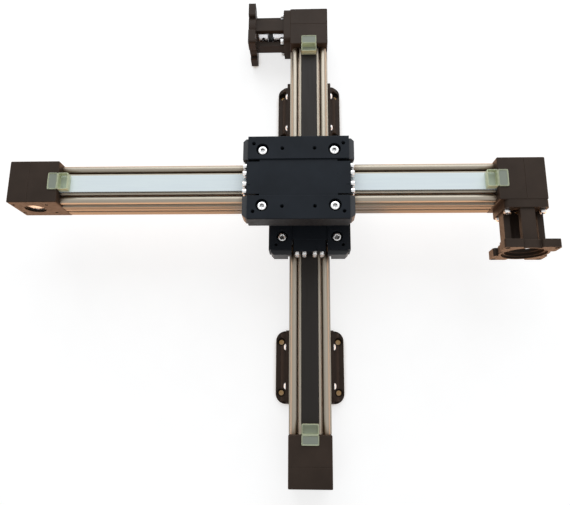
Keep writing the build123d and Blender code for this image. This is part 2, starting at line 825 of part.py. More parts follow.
def make_clamp_screws(name, module, carriage_u):
    """Eight screws in each belt clamp, with their heads standing proud."""
    reach = clamp_length + clamp_screw_grip - cap_room
    with BuildPart() as screws:
        for end in (1, -1):
            for v in clamp_screw_columns:
                for z in clamp_screw_rows:
                    origin = module.from_local_coords((carriage_u + end * clamp_end_u, v, z))
                    seat = Plane(origin, x_dir=module.y_dir, z_dir=module.x_dir * end)
                    add(cap_screw(seat, clamp_screw_head, clamp_screw_proud, clamp_screw_core, reach))
    save(screws, name)


# Shoulder bolts with washer and nut, one through each roller
def make_roller_bolts(name, module, carriage_u):
    seat_z = carriage_top - bolt_counterbore_depth
    washer_low = rail_axis_height + roller_width / 2 + fit_gap
    nut_top = rail_axis_height - roller_width / 2 - fit_gap
    with BuildPart() as bolts:
        for u in (roller_u, -roller_u):
            for v in (roller_v, -roller_v):
                with BuildSketch(place(module, carriage_u + u, v, seat_z)):
                    Circle(bolt_head / 2)
                extrude(amount=bolt_head_height)
                with BuildSketch(place(module, carriage_u + u, v, seat_z + bolt_head_height)):
                    RegularPolygon(bolt_socket / sqrt(3), 6)
                extrude(amount=-bolt_socket_depth, mode=Mode.SUBTRACT)
                with BuildSketch(place(module, carriage_u + u, v, seat_z)):
                    Circle(bolt_shank / 2)
                extrude(amount=nut_top - bolt_nut_height - seat_z)
                with BuildSketch(place(module, carriage_u + u, v, washer_low)):
                    Circle(bolt_washer / 2)
                extrude(amount=roller_pocket_top - washer_low)
                with BuildSketch(place(module, carriage_u + u, v, nut_top)):
                    RegularPolygon(bolt_nut / 2, 6)
                extrude(amount=-bolt_nut_height)
    save(bolts, name)


# Guide roller: a ring with a round groove that fits the rail
def make_roller(name, module, u, v):
    half = roller_width / 2
    outer = roller_diameter / 2
    bore = bolt_shank / 2 + fit_gap
    groove_radius = rail_radius + roller_gap
    groove_centre = roller_root_radius + groove_radius
    mouth = sqrt(groove_radius ** 2 - (groove_centre - outer) ** 2)
    recess_in = bore + roller_recess_width
    recess_out = recess_in + roller_recess_width / 2
    recess_z = half - roller_recess
    centre = module.from_local_coords((u, v, rail_axis_height))
    section = Plane(centre, x_dir=module.x_dir, z_dir=-module.y_dir)
    with BuildPart() as roller:
        with BuildSketch(section):
            with BuildLine():
                Polyline((outer, mouth), (outer, half), (recess_out, half), (recess_out, recess_z))
                Polyline((recess_out, recess_z), (recess_in, recess_z), (recess_in, half))
                Polyline((recess_in, half), (bore, half), (bore, -half), (recess_in, -half))
                Polyline((recess_in, -half), (recess_in, -recess_z), (recess_out, -recess_z))
                Polyline((recess_out, -recess_z), (recess_out, -half), (outer, -half), (outer, -mouth))
                ThreePointArc((outer, -mouth), (roller_root_radius, 0), (outer, mouth))
            make_face()
        revolve(axis=Axis(section.origin, module.z_dir))
    save(roller, name)


# Angle feet with counterbored floor holes, side screws and slot nuts
def make_feet(name, module):
    with BuildPart() as feet:
        for station in (-foot_station, foot_station):
            for side in (1, -1):
                flange_v = side * (half_width + foot_reach / 2)
                with BuildSketch(place(module, station, flange_v, -foot_raise)) as flange:
                    Rectangle(foot_length, foot_reach)
                    outer_row = -1 if side > 0 else 0
                    fillet(flange.vertices().group_by(Axis.Y)[outer_row], foot_corner)
                extrude(amount=foot_raise)
                inside = side * half_width
                with BuildSketch(place_across(module, station, inside, foot_wall_height / 2, side)) as wall:
                    Rectangle(foot_length, foot_wall_height)
                    fillet(wall.vertices().group_by(Axis.Y)[-1], foot_wall_corner)
                extrude(amount=foot_wall)
                bend_v = side * (half_width + foot_wall)
                bend = place_along(module, station - foot_length / 2 + foot_fillet_inset, bend_v, 0)
                with BuildSketch(bend):
                    with BuildLine():
                        Line((0, 0), (side * foot_fillet, 0))
                        RadiusArc((side * foot_fillet, 0), (0, foot_fillet), -side * foot_fillet)
                        Line((0, foot_fillet), (0, 0))
                    make_face()
                extrude(amount=foot_length - 2 * foot_fillet_inset)
                hole_v = side * (half_width + foot_hole_offset)
                with BuildSketch(place(module, station, hole_v, 0)):
                    with Locations((foot_hole_span / 2, 0), (-foot_hole_span / 2, 0)):
                        Circle(foot_counterbore / 2)
                extrude(amount=foot_fillet, mode=Mode.SUBTRACT)
                with BuildSketch(place(module, station, hole_v, 0)):
                    with Locations((foot_hole_span / 2, 0), (-foot_hole_span / 2, 0)):
                        Circle(foot_counterbore / 2)
                extrude(amount=-foot_counterbore_depth, mode=Mode.SUBTRACT)
                with BuildSketch(place(module, station, hole_v, 0)):
                    with Locations((foot_hole_span / 2, 0), (-foot_hole_span / 2, 0)):
                        Circle(foot_hole / 2)
                extrude(amount=-foot_raise, mode=Mode.SUBTRACT)
                with BuildSketch(place_across(module, station, side * half_width, slot_height, side)):
                    with Locations((foot_screw_span / 2, 0), (-foot_screw_span / 2, 0)):
                        Circle(foot_screw_core / 2 + fit_gap)
                extrude(amount=foot_wall, mode=Mode.SUBTRACT)
    save(feet, name)


def make_foot_fasteners(name, module):
    """Button-head screws through the feet, each into a square nut in the side slot."""
    nut_outer = half_width - slot_wall - slot_nut_room / 2
    nut_depth = slot_pocket_depth - slot_nut_room
    nut_height = slot_pocket_height - slot_nut_room
    with BuildPart() as fasteners:
        for station in (-foot_station, foot_station):
            for shift in (-foot_screw_span / 2, foot_screw_span / 2):
                for side in (1, -1):
                    u = station + shift
                    seat = place_across(module, u, side * (half_width + foot_wall), slot_height, side)
                    reach = foot_wall + half_width - nut_outer
                    add(cap_screw(seat, foot_screw_head, foot_screw_head_height, foot_screw_core, reach))
                    with BuildSketch(place_across(module, u, side * nut_outer, slot_height, side)):
                        Rectangle(slot_nut_length, nut_height)
                    extrude(amount=-nut_depth)
    save(fasteners, name)


# Cross plate between the lower carriage and the upper module, with its clamps and screws
def cross_plate_span():
    """Width of the plate across the upper module: profile, both side clamps."""
    return profile_width + 2 * side_clamp_width


def make_cross_plate(name):
    plane = place(upper_module, -upper_shift, 0, -cross_plate_thickness)
    plate_screws = []
    for u in (-inner_hole_v, inner_hole_v):
        for v in (-inner_hole_u, inner_hole_u):
            plate_screws.append((u, v - cross_offset))
    clamp_v = half_width + side_clamp_width / 2
    with BuildPart() as plate:
        with BuildSketch(plane):
            RectangleRounded(cross_plate_length, cross_plate_span(), cross_plate_corner)
        extrude(amount=cross_plate_thickness)
        with BuildSketch(plane.offset(cross_plate_thickness)):
            with Locations(*plate_screws):
                Circle(cross_screw_head / 2 + cap_room)
        extrude(amount=-(cross_screw_head_height + cap_room), mode=Mode.SUBTRACT)
        with BuildSketch(plane):
            with Locations(*plate_screws):
                Circle(cross_screw_core / 2)
            with GridLocations(cross_screw_pitch, 2 * clamp_v, 2, 2):
                Circle(cross_screw_core / 2)
        extrude(amount=cross_plate_thickness, mode=Mode.SUBTRACT)
    save(plate, name)


def make_side_clamps(name):
    """Bars along the upper profile that hook into its side slots and screw to the plate."""
    lip_height_room = slot_mouth - slot_nut_room
    with BuildPart() as clamps:
        for side in (1, -1):
            middle_v = side * (half_width + side_clamp_width / 2)
            plane = place(upper_module, -upper_shift, middle_v, 0)
            with BuildSketch(plane):
                Rectangle(side_clamp_length, side_clamp_width)
            extrude(amount=side_clamp_height)
            mouth = place_across(upper_module, -upper_shift, side * half_width, slot_height, side)
            with BuildSketch(mouth):
                Rectangle(side_clamp_length, lip_height_room)
            extrude(amount=-side_clamp_lip)
            with BuildSketch(plane.offset(side_clamp_height)):
                with Locations((cross_screw_pitch / 2, 0), (-cross_screw_pitch / 2, 0)):
                    Circle(cross_screw_head / 2 + cap_room)
            extrude(amount=-(cross_screw_head_height + cap_room), mode=Mode.SUBTRACT)
            with BuildSketch(plane):
                with Locations((cross_screw_pitch / 2, 0), (-cross_screw_pitch / 2, 0)):
                    Circle(cross_screw_core / 2)
            extrude(amount=side_clamp_height, mode=Mode.SUBTRACT)
    save(clamps, name)


def make_cross_screws(name):
    """Four screws hold the plate to the wings, four hold the clamps to the plate."""
    size = (cross_screw_head, cross_screw_head_height, cross_screw_core, cross_screw_length)
    plate_seat = -cross_screw_head_height - cap_room
    clamp_seat = side_clamp_height - cross_screw_head_height - cap_room
    clamp_v = half_width + side_clamp_width / 2
    with BuildPart() as screws:
        for u in (-1, 1):
            for v in (-1, 1):
                hole_u = -upper_shift + u * inner_hole_v
                hole_v = v * inner_hole_u - cross_offset
                seat = place(upper_module, hole_u, hole_v, plate_seat)
                add(cap_screw(seat, *size))
                bar_u = -upper_shift + u * cross_screw_pitch / 2
                seat = place(upper_module, bar_u, v * clamp_v, clamp_seat)
                add(cap_screw(seat, *size))
    save(screws, name)


# A whole module: profile, belt, housings, adapter and carriage
def make_module(prefix, module, carriage_u, motor_side, shaft_out):
    """motor_side is the sign of v where the adapter sits; shaft_out is the shaft's far end."""
    make_profile(f"{prefix}_profile", module)
    make_rails(f"{prefix}_rails", module)
    make_belt(f"{prefix}_belt", module)
    make_housing(f"{prefix}_idler", module, -module_half, profile_start, idler_axis_u, -1)
    make_housing(f"{prefix}_drive", module, profile_end, module_half, drive_axis_u, 1)
    make_housing_screws(f"{prefix}_housing_screws", module)
    make_bearings(f"{prefix}_bearings", module)
    make_circlips(f"{prefix}_circlips", module)
    make_bumpers(f"{prefix}_bumpers", module)
    make_motor_adapter(f"{prefix}_motor_adapter", module, motor_side)
    make_adapter_screws(f"{prefix}_adapter_screws", module, motor_side)
    shaft_end = bearing_inner_v + bearing_width
    make_pulley(f"{prefix}_idler_pulley", module, idler_axis_u, -shaft_end, shaft_end)
    low_v = -shaft_end if motor_side > 0 else -shaft_out
    high_v = shaft_out if motor_side > 0 else shaft_end
    make_pulley(f"{prefix}_drive_pulley", module, drive_axis_u, low_v, high_v)
    make_carriage_block(f"{prefix}_carriage_block", module, carriage_u)
    make_wing(f"{prefix}_wing_left", module, carriage_u, 1)
    make_wing(f"{prefix}_wing_right", module, carriage_u, -1)
    make_wing_caps(f"{prefix}_wing_caps", module, carriage_u)
    make_belt_clamps(f"{prefix}_belt_clamps", module, carriage_u)
    make_clamp_screws(f"{prefix}_clamp_screws", module, carriage_u)
    make_roller_bolts(f"{prefix}_roller_bolts", module, carriage_u)
    number = 1
    for u in (-roller_u, roller_u):
        for v in (-roller_v, roller_v):
            make_roller(f"{prefix}_roller_{number}", module, carriage_u + u, v)
            number += 1


lower_shaft_out = half_width + coupling_start + hub_length
upper_shaft_out = half_width + upper_shaft_stub
make_module("lower", lower_module, lower_carriage_u, 1, lower_shaft_out)
make_module("upper", upper_module, upper_carriage_u, -1, upper_shaft_out)
make_coupling("lower_coupling", lower_module, 1)
make_feet("mounting_feet", lower_module)
make_foot_fasteners("foot_fasteners", lower_module)
make_cross_plate("cross_plate")
make_side_clamps("cross_side_clamps")
make_cross_screws("cross_screws")
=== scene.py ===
"""Looks of the two-axis cartesian robot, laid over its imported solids.

The finishes are worked out from each point's place, its normal and what stands close to it. The
screws, bolts, bearings, bumpers and threads are surfaces on a grid of two parameters: a profile
turned round an axis, carried round a rounded rectangle, or carried along a helix.
"""

import json

import bmesh
import bpy
import numpy as np
from bpy.props import FloatProperty, FloatVectorProperty, IntProperty, PointerProperty
from mathutils import Matrix, Vector


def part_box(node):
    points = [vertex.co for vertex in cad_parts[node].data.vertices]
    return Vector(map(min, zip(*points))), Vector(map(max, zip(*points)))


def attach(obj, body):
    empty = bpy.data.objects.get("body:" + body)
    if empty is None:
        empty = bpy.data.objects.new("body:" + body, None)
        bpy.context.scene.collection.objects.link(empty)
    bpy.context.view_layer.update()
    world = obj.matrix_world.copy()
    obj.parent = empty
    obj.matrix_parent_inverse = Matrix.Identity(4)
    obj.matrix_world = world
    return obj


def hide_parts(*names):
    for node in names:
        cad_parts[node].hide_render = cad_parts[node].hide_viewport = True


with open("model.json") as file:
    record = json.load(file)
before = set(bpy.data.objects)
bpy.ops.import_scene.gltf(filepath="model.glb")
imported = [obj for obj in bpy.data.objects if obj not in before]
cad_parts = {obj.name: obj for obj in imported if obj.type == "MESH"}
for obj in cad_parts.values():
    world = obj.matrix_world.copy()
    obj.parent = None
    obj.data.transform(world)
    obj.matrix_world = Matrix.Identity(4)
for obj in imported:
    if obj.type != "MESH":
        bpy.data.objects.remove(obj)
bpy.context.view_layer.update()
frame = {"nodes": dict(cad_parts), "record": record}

bl_info = {
    "name": "Cartesian robot looks",
    "version": (1, 0, 0),
    "blender": (4, 5, 0),
    "location": "View3D > Sidebar > Robot",
    "description": "Finishes, fasteners, bearings, bumpers and studio of a two-axis cartesian robot",
    "category": "Object",
}

mm = 0.001
AXES = (0, 1, 2)
X_AXIS, Y_AXIS, Z_AXIS = AXES
photo_width_px = 570
focal_length_px = 581.30


# Settings a user would change


class FinishColours(bpy.types.PropertyGroup):
    """Colours of the robot's finishes."""

    housing_black: FloatVectorProperty(
        name="Housing black",
        description="Dyed anodising of the end housings, adapters and feet",
        subtype="COLOR",
        default=(0.044, 0.031, 0.024),
    )
    carriage_black: FloatVectorProperty(
        name="Carriage black",
        description="Dyed anodising of the carriages",
        subtype="COLOR",
        default=(0.015, 0.0185, 0.024),
    )
    natural: FloatVectorProperty(
        name="Natural aluminium",
        description="Clear anodised profile",
        subtype="COLOR",
        default=(0.23, 0.205, 0.165),
    )
    rail_steel: FloatVectorProperty(
        name="Rail steel",
        description="Ground and hardened rods",
        subtype="COLOR",
        default=(0.345, 0.31, 0.255),
    )
    screw_steel: FloatVectorProperty(
        name="Screw steel",
        description="Bright plated screws",
        subtype="COLOR",
        default=(0.80, 0.80, 0.80),
    )
    white_belt: FloatVectorProperty(
        name="White belt",
        description="Polyurethane belt of the upper module",
        subtype="COLOR",
        default=(0.87, 0.96, 1.0),
    )
    black_belt: FloatVectorProperty(
        name="Black belt",
        description="Rubber belt of the lower module",
        subtype="COLOR",
        default=(0.013, 0.010, 0.008),
    )
    bumper: FloatVectorProperty(
        name="Bumper",
        description="Pale green see-through rubber",
        subtype="COLOR",
        default=(0.78, 0.84, 0.58),
    )


class FastenerSizes(bpy.types.PropertyGroup):
    """Shape of the turned screws, bolts and threads."""

    head_chamfer: FloatProperty(
        name="Head chamfer",
        description="Bevel round the top of a screw head",
        unit="LENGTH",
        default=0.35 * mm,
    )
    socket_share: FloatProperty(
        name="Socket share",
        description="Width of the hexagon socket as a share of the head's width",
        subtype="FACTOR",
        default=0.5,
    )
    knurl_depth: FloatProperty(
        name="Knurl depth",
        description="Depth of the flutes round a cap screw's head",
        unit="LENGTH",
        default=0.09 * mm,
    )
    thread_pitch: FloatProperty(
        name="Thread pitch",
        description="Rise of one turn in the tapped holes",
        unit="LENGTH",
        default=0.8 * mm,
    )
    segments: IntProperty(
        name="Segments",
        description="Steps round each turned screw and bolt, a plain count",
        subtype="UNSIGNED",
        default=48,
    )


class StudioSettings(bpy.types.PropertyGroup):
    """Camera and lamps."""

    eye: FloatVectorProperty(
        name="Eye",
        description="Place of the camera",
        subtype="TRANSLATION",
        unit="LENGTH",
        default=(-2.65 * mm, -185.66 * mm, 670.65 * mm),
    )
    turn: FloatVectorProperty(
        name="Turn",
        description="Rotation vector that takes the robot's axes to the camera's, in radians",
        default=(-0.2438, -0.0383, -0.0020),
    )
    focal_share: FloatProperty(
        name="Focal share",
        description="Focal length over the width of the image",
        subtype="FACTOR",
        default=focal_length_px / photo_width_px,
    )
    key_power: FloatProperty(
        name="Key power",
        description="Power of the large cool lamp high behind the robot, in watts",
        unit="POWER",
        default=23.0,
    )
    warm_power: FloatProperty(
        name="Warm power",
        description="Power of each of the two warm glows that rise from the ground, in watts",
        unit="POWER",
        default=2.9,
    )
    sky: FloatProperty(
        name="Sky",
        description="Strength of the even light all round",
        subtype="FACTOR",
        default=0.42,
    )


class RobotLooks(bpy.types.PropertyGroup):
    """All settings of the robot's looks."""

    colours: PointerProperty(type=FinishColours)
    fasteners: PointerProperty(type=FastenerSizes)
    studio: PointerProperty(type=StudioSettings)


def settings():
    """The settings in the open scene."""
    return bpy.context.scene.robot_looks


# Finishes: each reads Object coordinates

# Most values of a noise texture lie between these two
noise_low, noise_high = 0.3, 0.7
bevel_samples = 4
occlusion_samples = 6


def shade(colour, factor):
    """The colour made lighter or darker."""
    return tuple(min(1.0, part * factor) for part in colour)


class Finish:
    """A material being put together, with the few nodes that every finish here uses."""

    def __init__(self, name):
        self.material = bpy.data.materials.new(f"{name}_finish")
        self.material.use_nodes = True
        self.tree = self.material.node_tree
        self.shader = self.tree.nodes["Principled BSDF"]
        self.place = self.node("ShaderNodeTexCoord").outputs["Object"]
        self.normal = None

    def node(self, kind, **values):
        made = self.tree.nodes.new(kind)
        for key, value in values.items():
            setattr(made, key, value)
        return made

    def link(self, source, target):
        self.tree.links.new(source, target)

    def constants(self, **values):
        """Sets the shader's sockets of these names, with spaces for the underscores."""
        for key, value in values.items():
            self.shader.inputs[key.replace("_", " ")].default_value = value

    def noise(self, size, stretch=(1, 1, 1), detail=3.0):
        """Noise whose features are about size across, longer where stretch is below one."""
        mapping = self.node("ShaderNodeMapping")
        mapping.inputs["Scale"].default_value = tuple(part / size for part in stretch)
        self.link(self.place, mapping.inputs["Vector"])
        texture = self.node("ShaderNodeTexNoise")
        texture.inputs["Scale"].default_value = 1.0
        texture.inputs["Detail"].default_value = detail
        self.link(mapping.outputs["Vector"], texture.inputs["Vector"])
        return texture.outputs["Fac"]

    def ramped(self, value, start=0.0, stop=1.0, low=0.0, high=1.0):
        """A number that runs from low to high as the value runs from start to stop."""
        ramp = self.node("ShaderNodeMapRange")
        limits = {"From Min": start, "From Max": stop, "To Min": low, "To Max": high}
        for limit, number in limits.items():
            ramp.inputs[limit].default_value = number
        self.link(value, ramp.inputs["Value"])
        return ramp.outputs["Result"]

    def between(self, pattern, low, high):
        """A number that runs from low to high as a noise runs over most of its range."""
        return self.ramped(pattern, noise_low, noise_high, low, high)

    def mixed(self, factor, first, second):
        """A colour between two; each is a tuple or a socket."""
        mix = self.node("ShaderNodeMixRGB")
        for socket, colour in ((mix.inputs["Color1"], first), (mix.inputs["Color2"], second)):
            if isinstance(colour, tuple):
                socket.default_value = (*colour, 1.0)
            else:
                self.link(colour, socket)
        self.link(factor, mix.inputs["Fac"])
        return mix.outputs["Color"]

    def varied(self, pattern, colour, darker, paler):
        """The colour times a factor that runs from darker to paler with a noise."""
        share = self.between(pattern, 0.0, 1.0)
        return self.mixed(share, shade(colour, darker), shade(colour, paler))

    def eased_edges(self, radius):
        """Rounds the shading over edges that are sharp in the solids."""
        bevel = self.node("ShaderNodeBevel", samples=bevel_samples)
        bevel.inputs["Radius"].default_value = radius
        self.normal = bevel.outputs["Normal"]

    def edge_share(self, low, high):
        """A factor that rises where the eased normal leaves the flat one, along edges."""
        flat = self.node("ShaderNodeNewGeometry").outputs["Normal"]
        dot = self.node("ShaderNodeVectorMath", operation="DOT_PRODUCT")
        self.link(self.normal, dot.inputs[0])
        self.link(flat, dot.inputs[1])
        return self.ramped(dot.outputs["Value"], start=high, stop=low)

    def facing_up(self, start):
        """A factor that rises from 0 to 1 as the flat normal's height goes from start to 1."""
        facing = self.node("ShaderNodeSeparateXYZ")
        self.link(self.node("ShaderNodeNewGeometry").outputs["True Normal"], facing.inputs["Vector"])
        return self.ramped(facing.outputs["Z"], start=start)

    def crevice(self, reach, low, high):
        """A factor from 0 to 1 as surfaces within reach close the open share from high to low."""
        occlusion = self.node("ShaderNodeAmbientOcclusion", samples=occlusion_samples)
        occlusion.inputs["Distance"].default_value = reach
        return self.ramped(occlusion.outputs["AO"], start=high, stop=low)

    def raised(self, height, distance, strength):
        """Adds a bump on top of the normal so far."""
        bump = self.node("ShaderNodeBump")
        bump.inputs["Strength"].default_value = strength
        bump.inputs["Distance"].default_value = distance
        self.link(height, bump.inputs["Height"])
        if self.normal:
            self.link(self.normal, bump.inputs["Normal"])
        self.normal = bump.outputs["Normal"]

    def done(self, colour, roughness=None):
        """The material, once its colour, roughness and normal reach the shader."""
        self.link(colour, self.shader.inputs["Base Color"])
        if roughness is not None:
            self.link(roughness, self.shader.inputs["Roughness"])
        if self.normal:
            self.link(self.normal, self.shader.inputs["Normal"])
        return self.material


def finish_called(name):
    """The finish of that name, not the frame's plain material, which may share it."""
    return bpy.data.materials[f"{name}_finish"]


def stretched(axis, scale, other_scale):
    """A scale for each axis: the first for the axis given, and the second for the other two."""
    return tuple(scale if each == axis else other_scale for each in AXES)


def dyed_anodising(name, colour):
    """Bead-blasted metal under black dye: fine grain, cloudy gloss, and edges painted paler for rubbed
    wear and a painted edge highlight.
    """
    cloud_size, gloss_size, grain_size = 26 * mm, 4 * mm, 0.35 * mm
    # How much paler the edges are painted: partly rubbed wear, partly a painted highlight along them
    rubbed_highlight_factor = 2.6
    finish = Finish(name)
    finish.eased_edges(radius=0.45 * mm)
    # Painted edge highlight mixed with rubbed wear: the edges get a paler colour
    rubbed_and_highlit = finish.edge_share(low=0.80, high=0.995)
    clouds = finish.varied(finish.noise(cloud_size), colour, darker=0.86, paler=1.16)
    worn_and_highlit = finish.mixed(rubbed_and_highlit, clouds, shade(colour, rubbed_highlight_factor))
    finish.raised(finish.noise(grain_size, detail=2.0), distance=0.02 * mm, strength=0.5)
    finish.constants(IOR=1.45, Specular_IOR_Level=0.10)
    return finish.done(worn_and_highlit, finish.between(finish.noise(gloss_size), low=0.36, high=0.48))


def drawn_aluminium(name, colour, along):
    """Clear anodised extrusion: die lines along it, a painted highlight on its level faces, and a
    painted warm reflection in its more metallic grooves.
    """
    line_size, gloss_size, groove_reach = 0.9 * mm, 6 * mm, 9 * mm
    # Faces that look up are painted paler, a painted highlight of the lamp above
    level_start, lit_top_factor = 0.9, 2.3
    # Warm colour painted into the grooves, a painted reflection of warm light there
    groove_reflection_colour = (0.90, 0.72, 0.56)
    stretch = stretched(along, 0.004, 1.0)
    finish = Finish(name)
    finish.eased_edges(radius=0.25 * mm)
    lines = finish.noise(line_size, stretch, detail=4.0)
    drawn = finish.varied(lines, colour, darker=0.88, paler=1.12)
    # Painted highlight: the level faces get a paler colour
    base = finish.mixed(finish.facing_up(level_start), drawn, shade(colour, lit_top_factor))
    groove = finish.crevice(groove_reach, low=0.05, high=0.5)
    # Painted warm reflection: the grooves take the warm colour
    groove_reflected = finish.mixed(groove, base, groove_reflection_colour)
    finish.raised(lines, distance=0.02 * mm, strength=0.6)
    finish.link(finish.ramped(groove, low=0.3, high=0.9), finish.shader.inputs["Metallic"])
    finish.constants(Specular_IOR_Level=0.4)
    roughness = finish.between(finish.noise(gloss_size, stretch), low=0.40, high=0.52)
    return finish.done(groove_reflected, roughness)


def ground_steel(name, colour, along):
    """Centreless-ground rod: fine rings round it, faint streaks along it, and painted brown shade where
    it lies in its cradle.
    """
    ring_size, streak_size, cradle_reach = 2.2 * mm, 1.6 * mm, 10 * mm
    # Brown painted onto the rod where its cradle closes it in, a painted shade
    cradle_shade_colour = (0.13, 0.08, 0.045)
    finish = Finish(name)
    rings = finish.noise(ring_size, stretched(along, 14.0, 0.5), detail=3.0)
    streaks = finish.noise(streak_size, stretched(along, 0.01, 1.0))
    base = finish.varied(streaks, colour, darker=0.92, paler=1.06)
    # Painted shade: the rod turns brown where the cradle stands close
    cradle_shaded = finish.mixed(finish.crevice(cradle_reach, low=0.35, high=0.97), base, cradle_shade_colour)
    finish.raised(rings, distance=0.004 * mm, strength=0.5)
    finish.constants(Metallic=0.9)
    return finish.done(cradle_shaded, finish.between(rings, low=0.32, high=0.42))


def plated_steel(name, colour, mark_size=1.4 * mm):
    """Bright plating with faint tool marks, and painted shade that turns it nearly black deep in
    sockets and gaps.
    """
    # The last factor darkens the colour deep in sockets and gaps, a painted shade
    grain_size, socket_reach, socket_shade_factor = 0.3 * mm, 5 * mm, 0.03
    finish = Finish(name)
    marks = finish.noise(mark_size, detail=4.0)
    base = finish.varied(marks, colour, darker=0.86, paler=1.05)
    socket = finish.crevice(socket_reach, low=0.35, high=0.62)
    finish.raised(finish.noise(grain_size), distance=0.006 * mm, strength=0.5)
    finish.constants(Metallic=1.0)
    # Painted shade: sockets and gaps get the nearly black colour
    socket_shaded = finish.mixed(socket, base, shade(colour, socket_shade_factor))
    return finish.done(socket_shaded, finish.between(marks, low=0.20, high=0.36))


def turned_aluminium(name, colour):
    """Machined aluminium with a fine, even cut."""
    cut_size, gloss_size = 0.5 * mm, 3 * mm
    finish = Finish(name)
    finish.eased_edges(radius=0.2 * mm)
    cut = finish.noise(cut_size, detail=3.0)
    base = finish.varied(cut, colour, darker=0.9, paler=1.08)
    finish.raised(cut, distance=0.01 * mm, strength=0.5)
    finish.constants(Metallic=1.0)
    return finish.done(base, finish.between(finish.noise(gloss_size), low=0.24, high=0.36))


def belting(name, colour, across, gloss):
    """Belt with cords along it that print through as faint ribs, and scuffs over them."""
    cord_pitch, scuff_size, grain_size = 1.25 * mm, 2.4 * mm, 0.25 * mm
    wave_at_scale_one = 0.314
    gloss_range = 0.14
    finish = Finish(name)
    ribs = finish.node("ShaderNodeTexWave", bands_direction="XYZ"[across])
    ribs.inputs["Scale"].default_value = wave_at_scale_one / cord_pitch
    ribs.inputs["Distortion"].default_value = 0.4
    finish.link(finish.place, ribs.inputs["Vector"])
    scuffs = finish.noise(scuff_size, stretched(across, 1.0, 0.05), detail=5.0)
    base = finish.varied(scuffs, colour, darker=0.97, paler=1.02)
    finish.raised(ribs.outputs["Fac"], distance=0.02 * mm, strength=0.2)
    finish.raised(finish.noise(grain_size), distance=0.01 * mm, strength=0.4)
    finish.constants(Specular_IOR_Level=0.25)
    return finish.done(base, finish.between(scuffs, gloss, gloss + gloss_range))


def clear_rubber(name, colour):
    """See-through moulded rubber: milky walls and lips round clearer flat floors."""
    milk_size, ripple_size = 3.5 * mm, 1.2 * mm
    level_start = 0.97
    floor_colour = (0.80, 0.88, 0.74)
    wall_opacity, floor_opacity = 0.62, 0.36
    finish = Finish(name)
    floor = finish.facing_up(level_start)
    milk = finish.noise(milk_size, detail=4.0)
    wall = finish.varied(milk, colour, darker=0.90, paler=1.08)
    opacity = finish.ramped(floor, low=wall_opacity, high=floor_opacity)
    finish.link(opacity, finish.shader.inputs["Alpha"])
    finish.raised(finish.noise(ripple_size), distance=0.01 * mm, strength=0.3)
    finish.constants(IOR=1.42, Specular_IOR_Level=0.5)
    base = finish.mixed(floor, wall, floor_colour)
    return finish.done(base, finish.between(milk, low=0.14, high=0.28))


def moulded_plastic(name, colour):
    """Black moulded plastic with a fine spark texture."""
    cloud_size, spark_size = 9 * mm, 0.45 * mm
    finish = Finish(name)
    finish.eased_edges(radius=0.4 * mm)
    spark = finish.noise(spark_size, detail=2.0)
    base = finish.varied(finish.noise(cloud_size), colour, darker=0.9, paler=1.12)
    finish.raised(spark, distance=0.02 * mm, strength=0.6)
    finish.constants(Specular_IOR_Level=0.4)
    return finish.done(base, finish.between(spark, low=0.42, high=0.56))


carriage_nodes = (
    "carriage_block",
    "wing_left",
    "wing_right",
    "belt_clamps",
    "cross_plate",
    "cross_side_clamps",
)


def finish_of(node, slot, finishes):
    """The finish of a node, by its record slot, the way it lies and whether it is on a carriage."""
    along = "x" if node.startswith("upper") else "y"
    if slot == "black_anodised" and node.endswith(carriage_nodes):
        return finishes["carriage_black"]
    if slot in ("natural_anodised", "rail_steel"):
        return finishes[f"{slot}_{along}"]
    return finishes[slot]


def make_finishes():
    """Every finish once, under its record slot's name, or with the way it runs added to it."""
    colours = settings().colours
    steel = tuple(colours.screw_steel)
    return {
        "black_anodised": dyed_anodising("housing_black", tuple(colours.housing_black)),
        "carriage_black": dyed_anodising("carriage_black", tuple(colours.carriage_black)),
        "natural_anodised_x": drawn_aluminium("profile_along_x", tuple(colours.natural), X_AXIS),
        "natural_anodised_y": drawn_aluminium("profile_along_y", tuple(colours.natural), Y_AXIS),
        "rail_steel_x": ground_steel("rail_along_x", tuple(colours.rail_steel), X_AXIS),
        "rail_steel_y": ground_steel("rail_along_y", tuple(colours.rail_steel), Y_AXIS),
        "screw_steel": plated_steel("screw_steel", steel),
        "bearing_steel": plated_steel("bearing_steel", shade(steel, 0.85), mark_size=3 * mm),
        "black_steel": plated_steel("black_steel", (0.07, 0.065, 0.06)),
        "pulley_metal": turned_aluminium("pulley_metal", (0.62, 0.62, 0.63)),
        "coupling_metal": turned_aluminium("coupling_metal", (0.80, 0.80, 0.82)),
        "white_belt": belting("white_belt", tuple(colours.white_belt), Y_AXIS, gloss=0.38),
        "black_belt": belting("black_belt", tuple(colours.black_belt), X_AXIS, gloss=0.46),
        "bumper_rubber": clear_rubber("bumper_rubber", tuple(colours.bumper)),
        "coupling_plastic": moulded_plastic("coupling_plastic", (0.02, 0.02, 0.021)),
        "cap_plastic": moulded_plastic("cap_plastic", (0.020, 0.022, 0.026)),
    }


class ROBOT_OT_finishes(bpy.types.Operator):
    """Gives every solid of the robot its finish"""

    bl_idname = "robot.finishes"
    bl_label = "Finishes"

    def execute(self, context):
        finishes = make_finishes()
        for subpart in frame["record"]["subparts"]:
            node = subpart["node"]
            material = finish_of(node, subpart["material_slot"], finishes)
            for place in frame["nodes"][node].material_slots:
                place.material = material
        return {"FINISHED"}


# Grids of points made into meshes

merge_distance = 1e-7
merge_decimals = 6
sharp_angle = 0.6


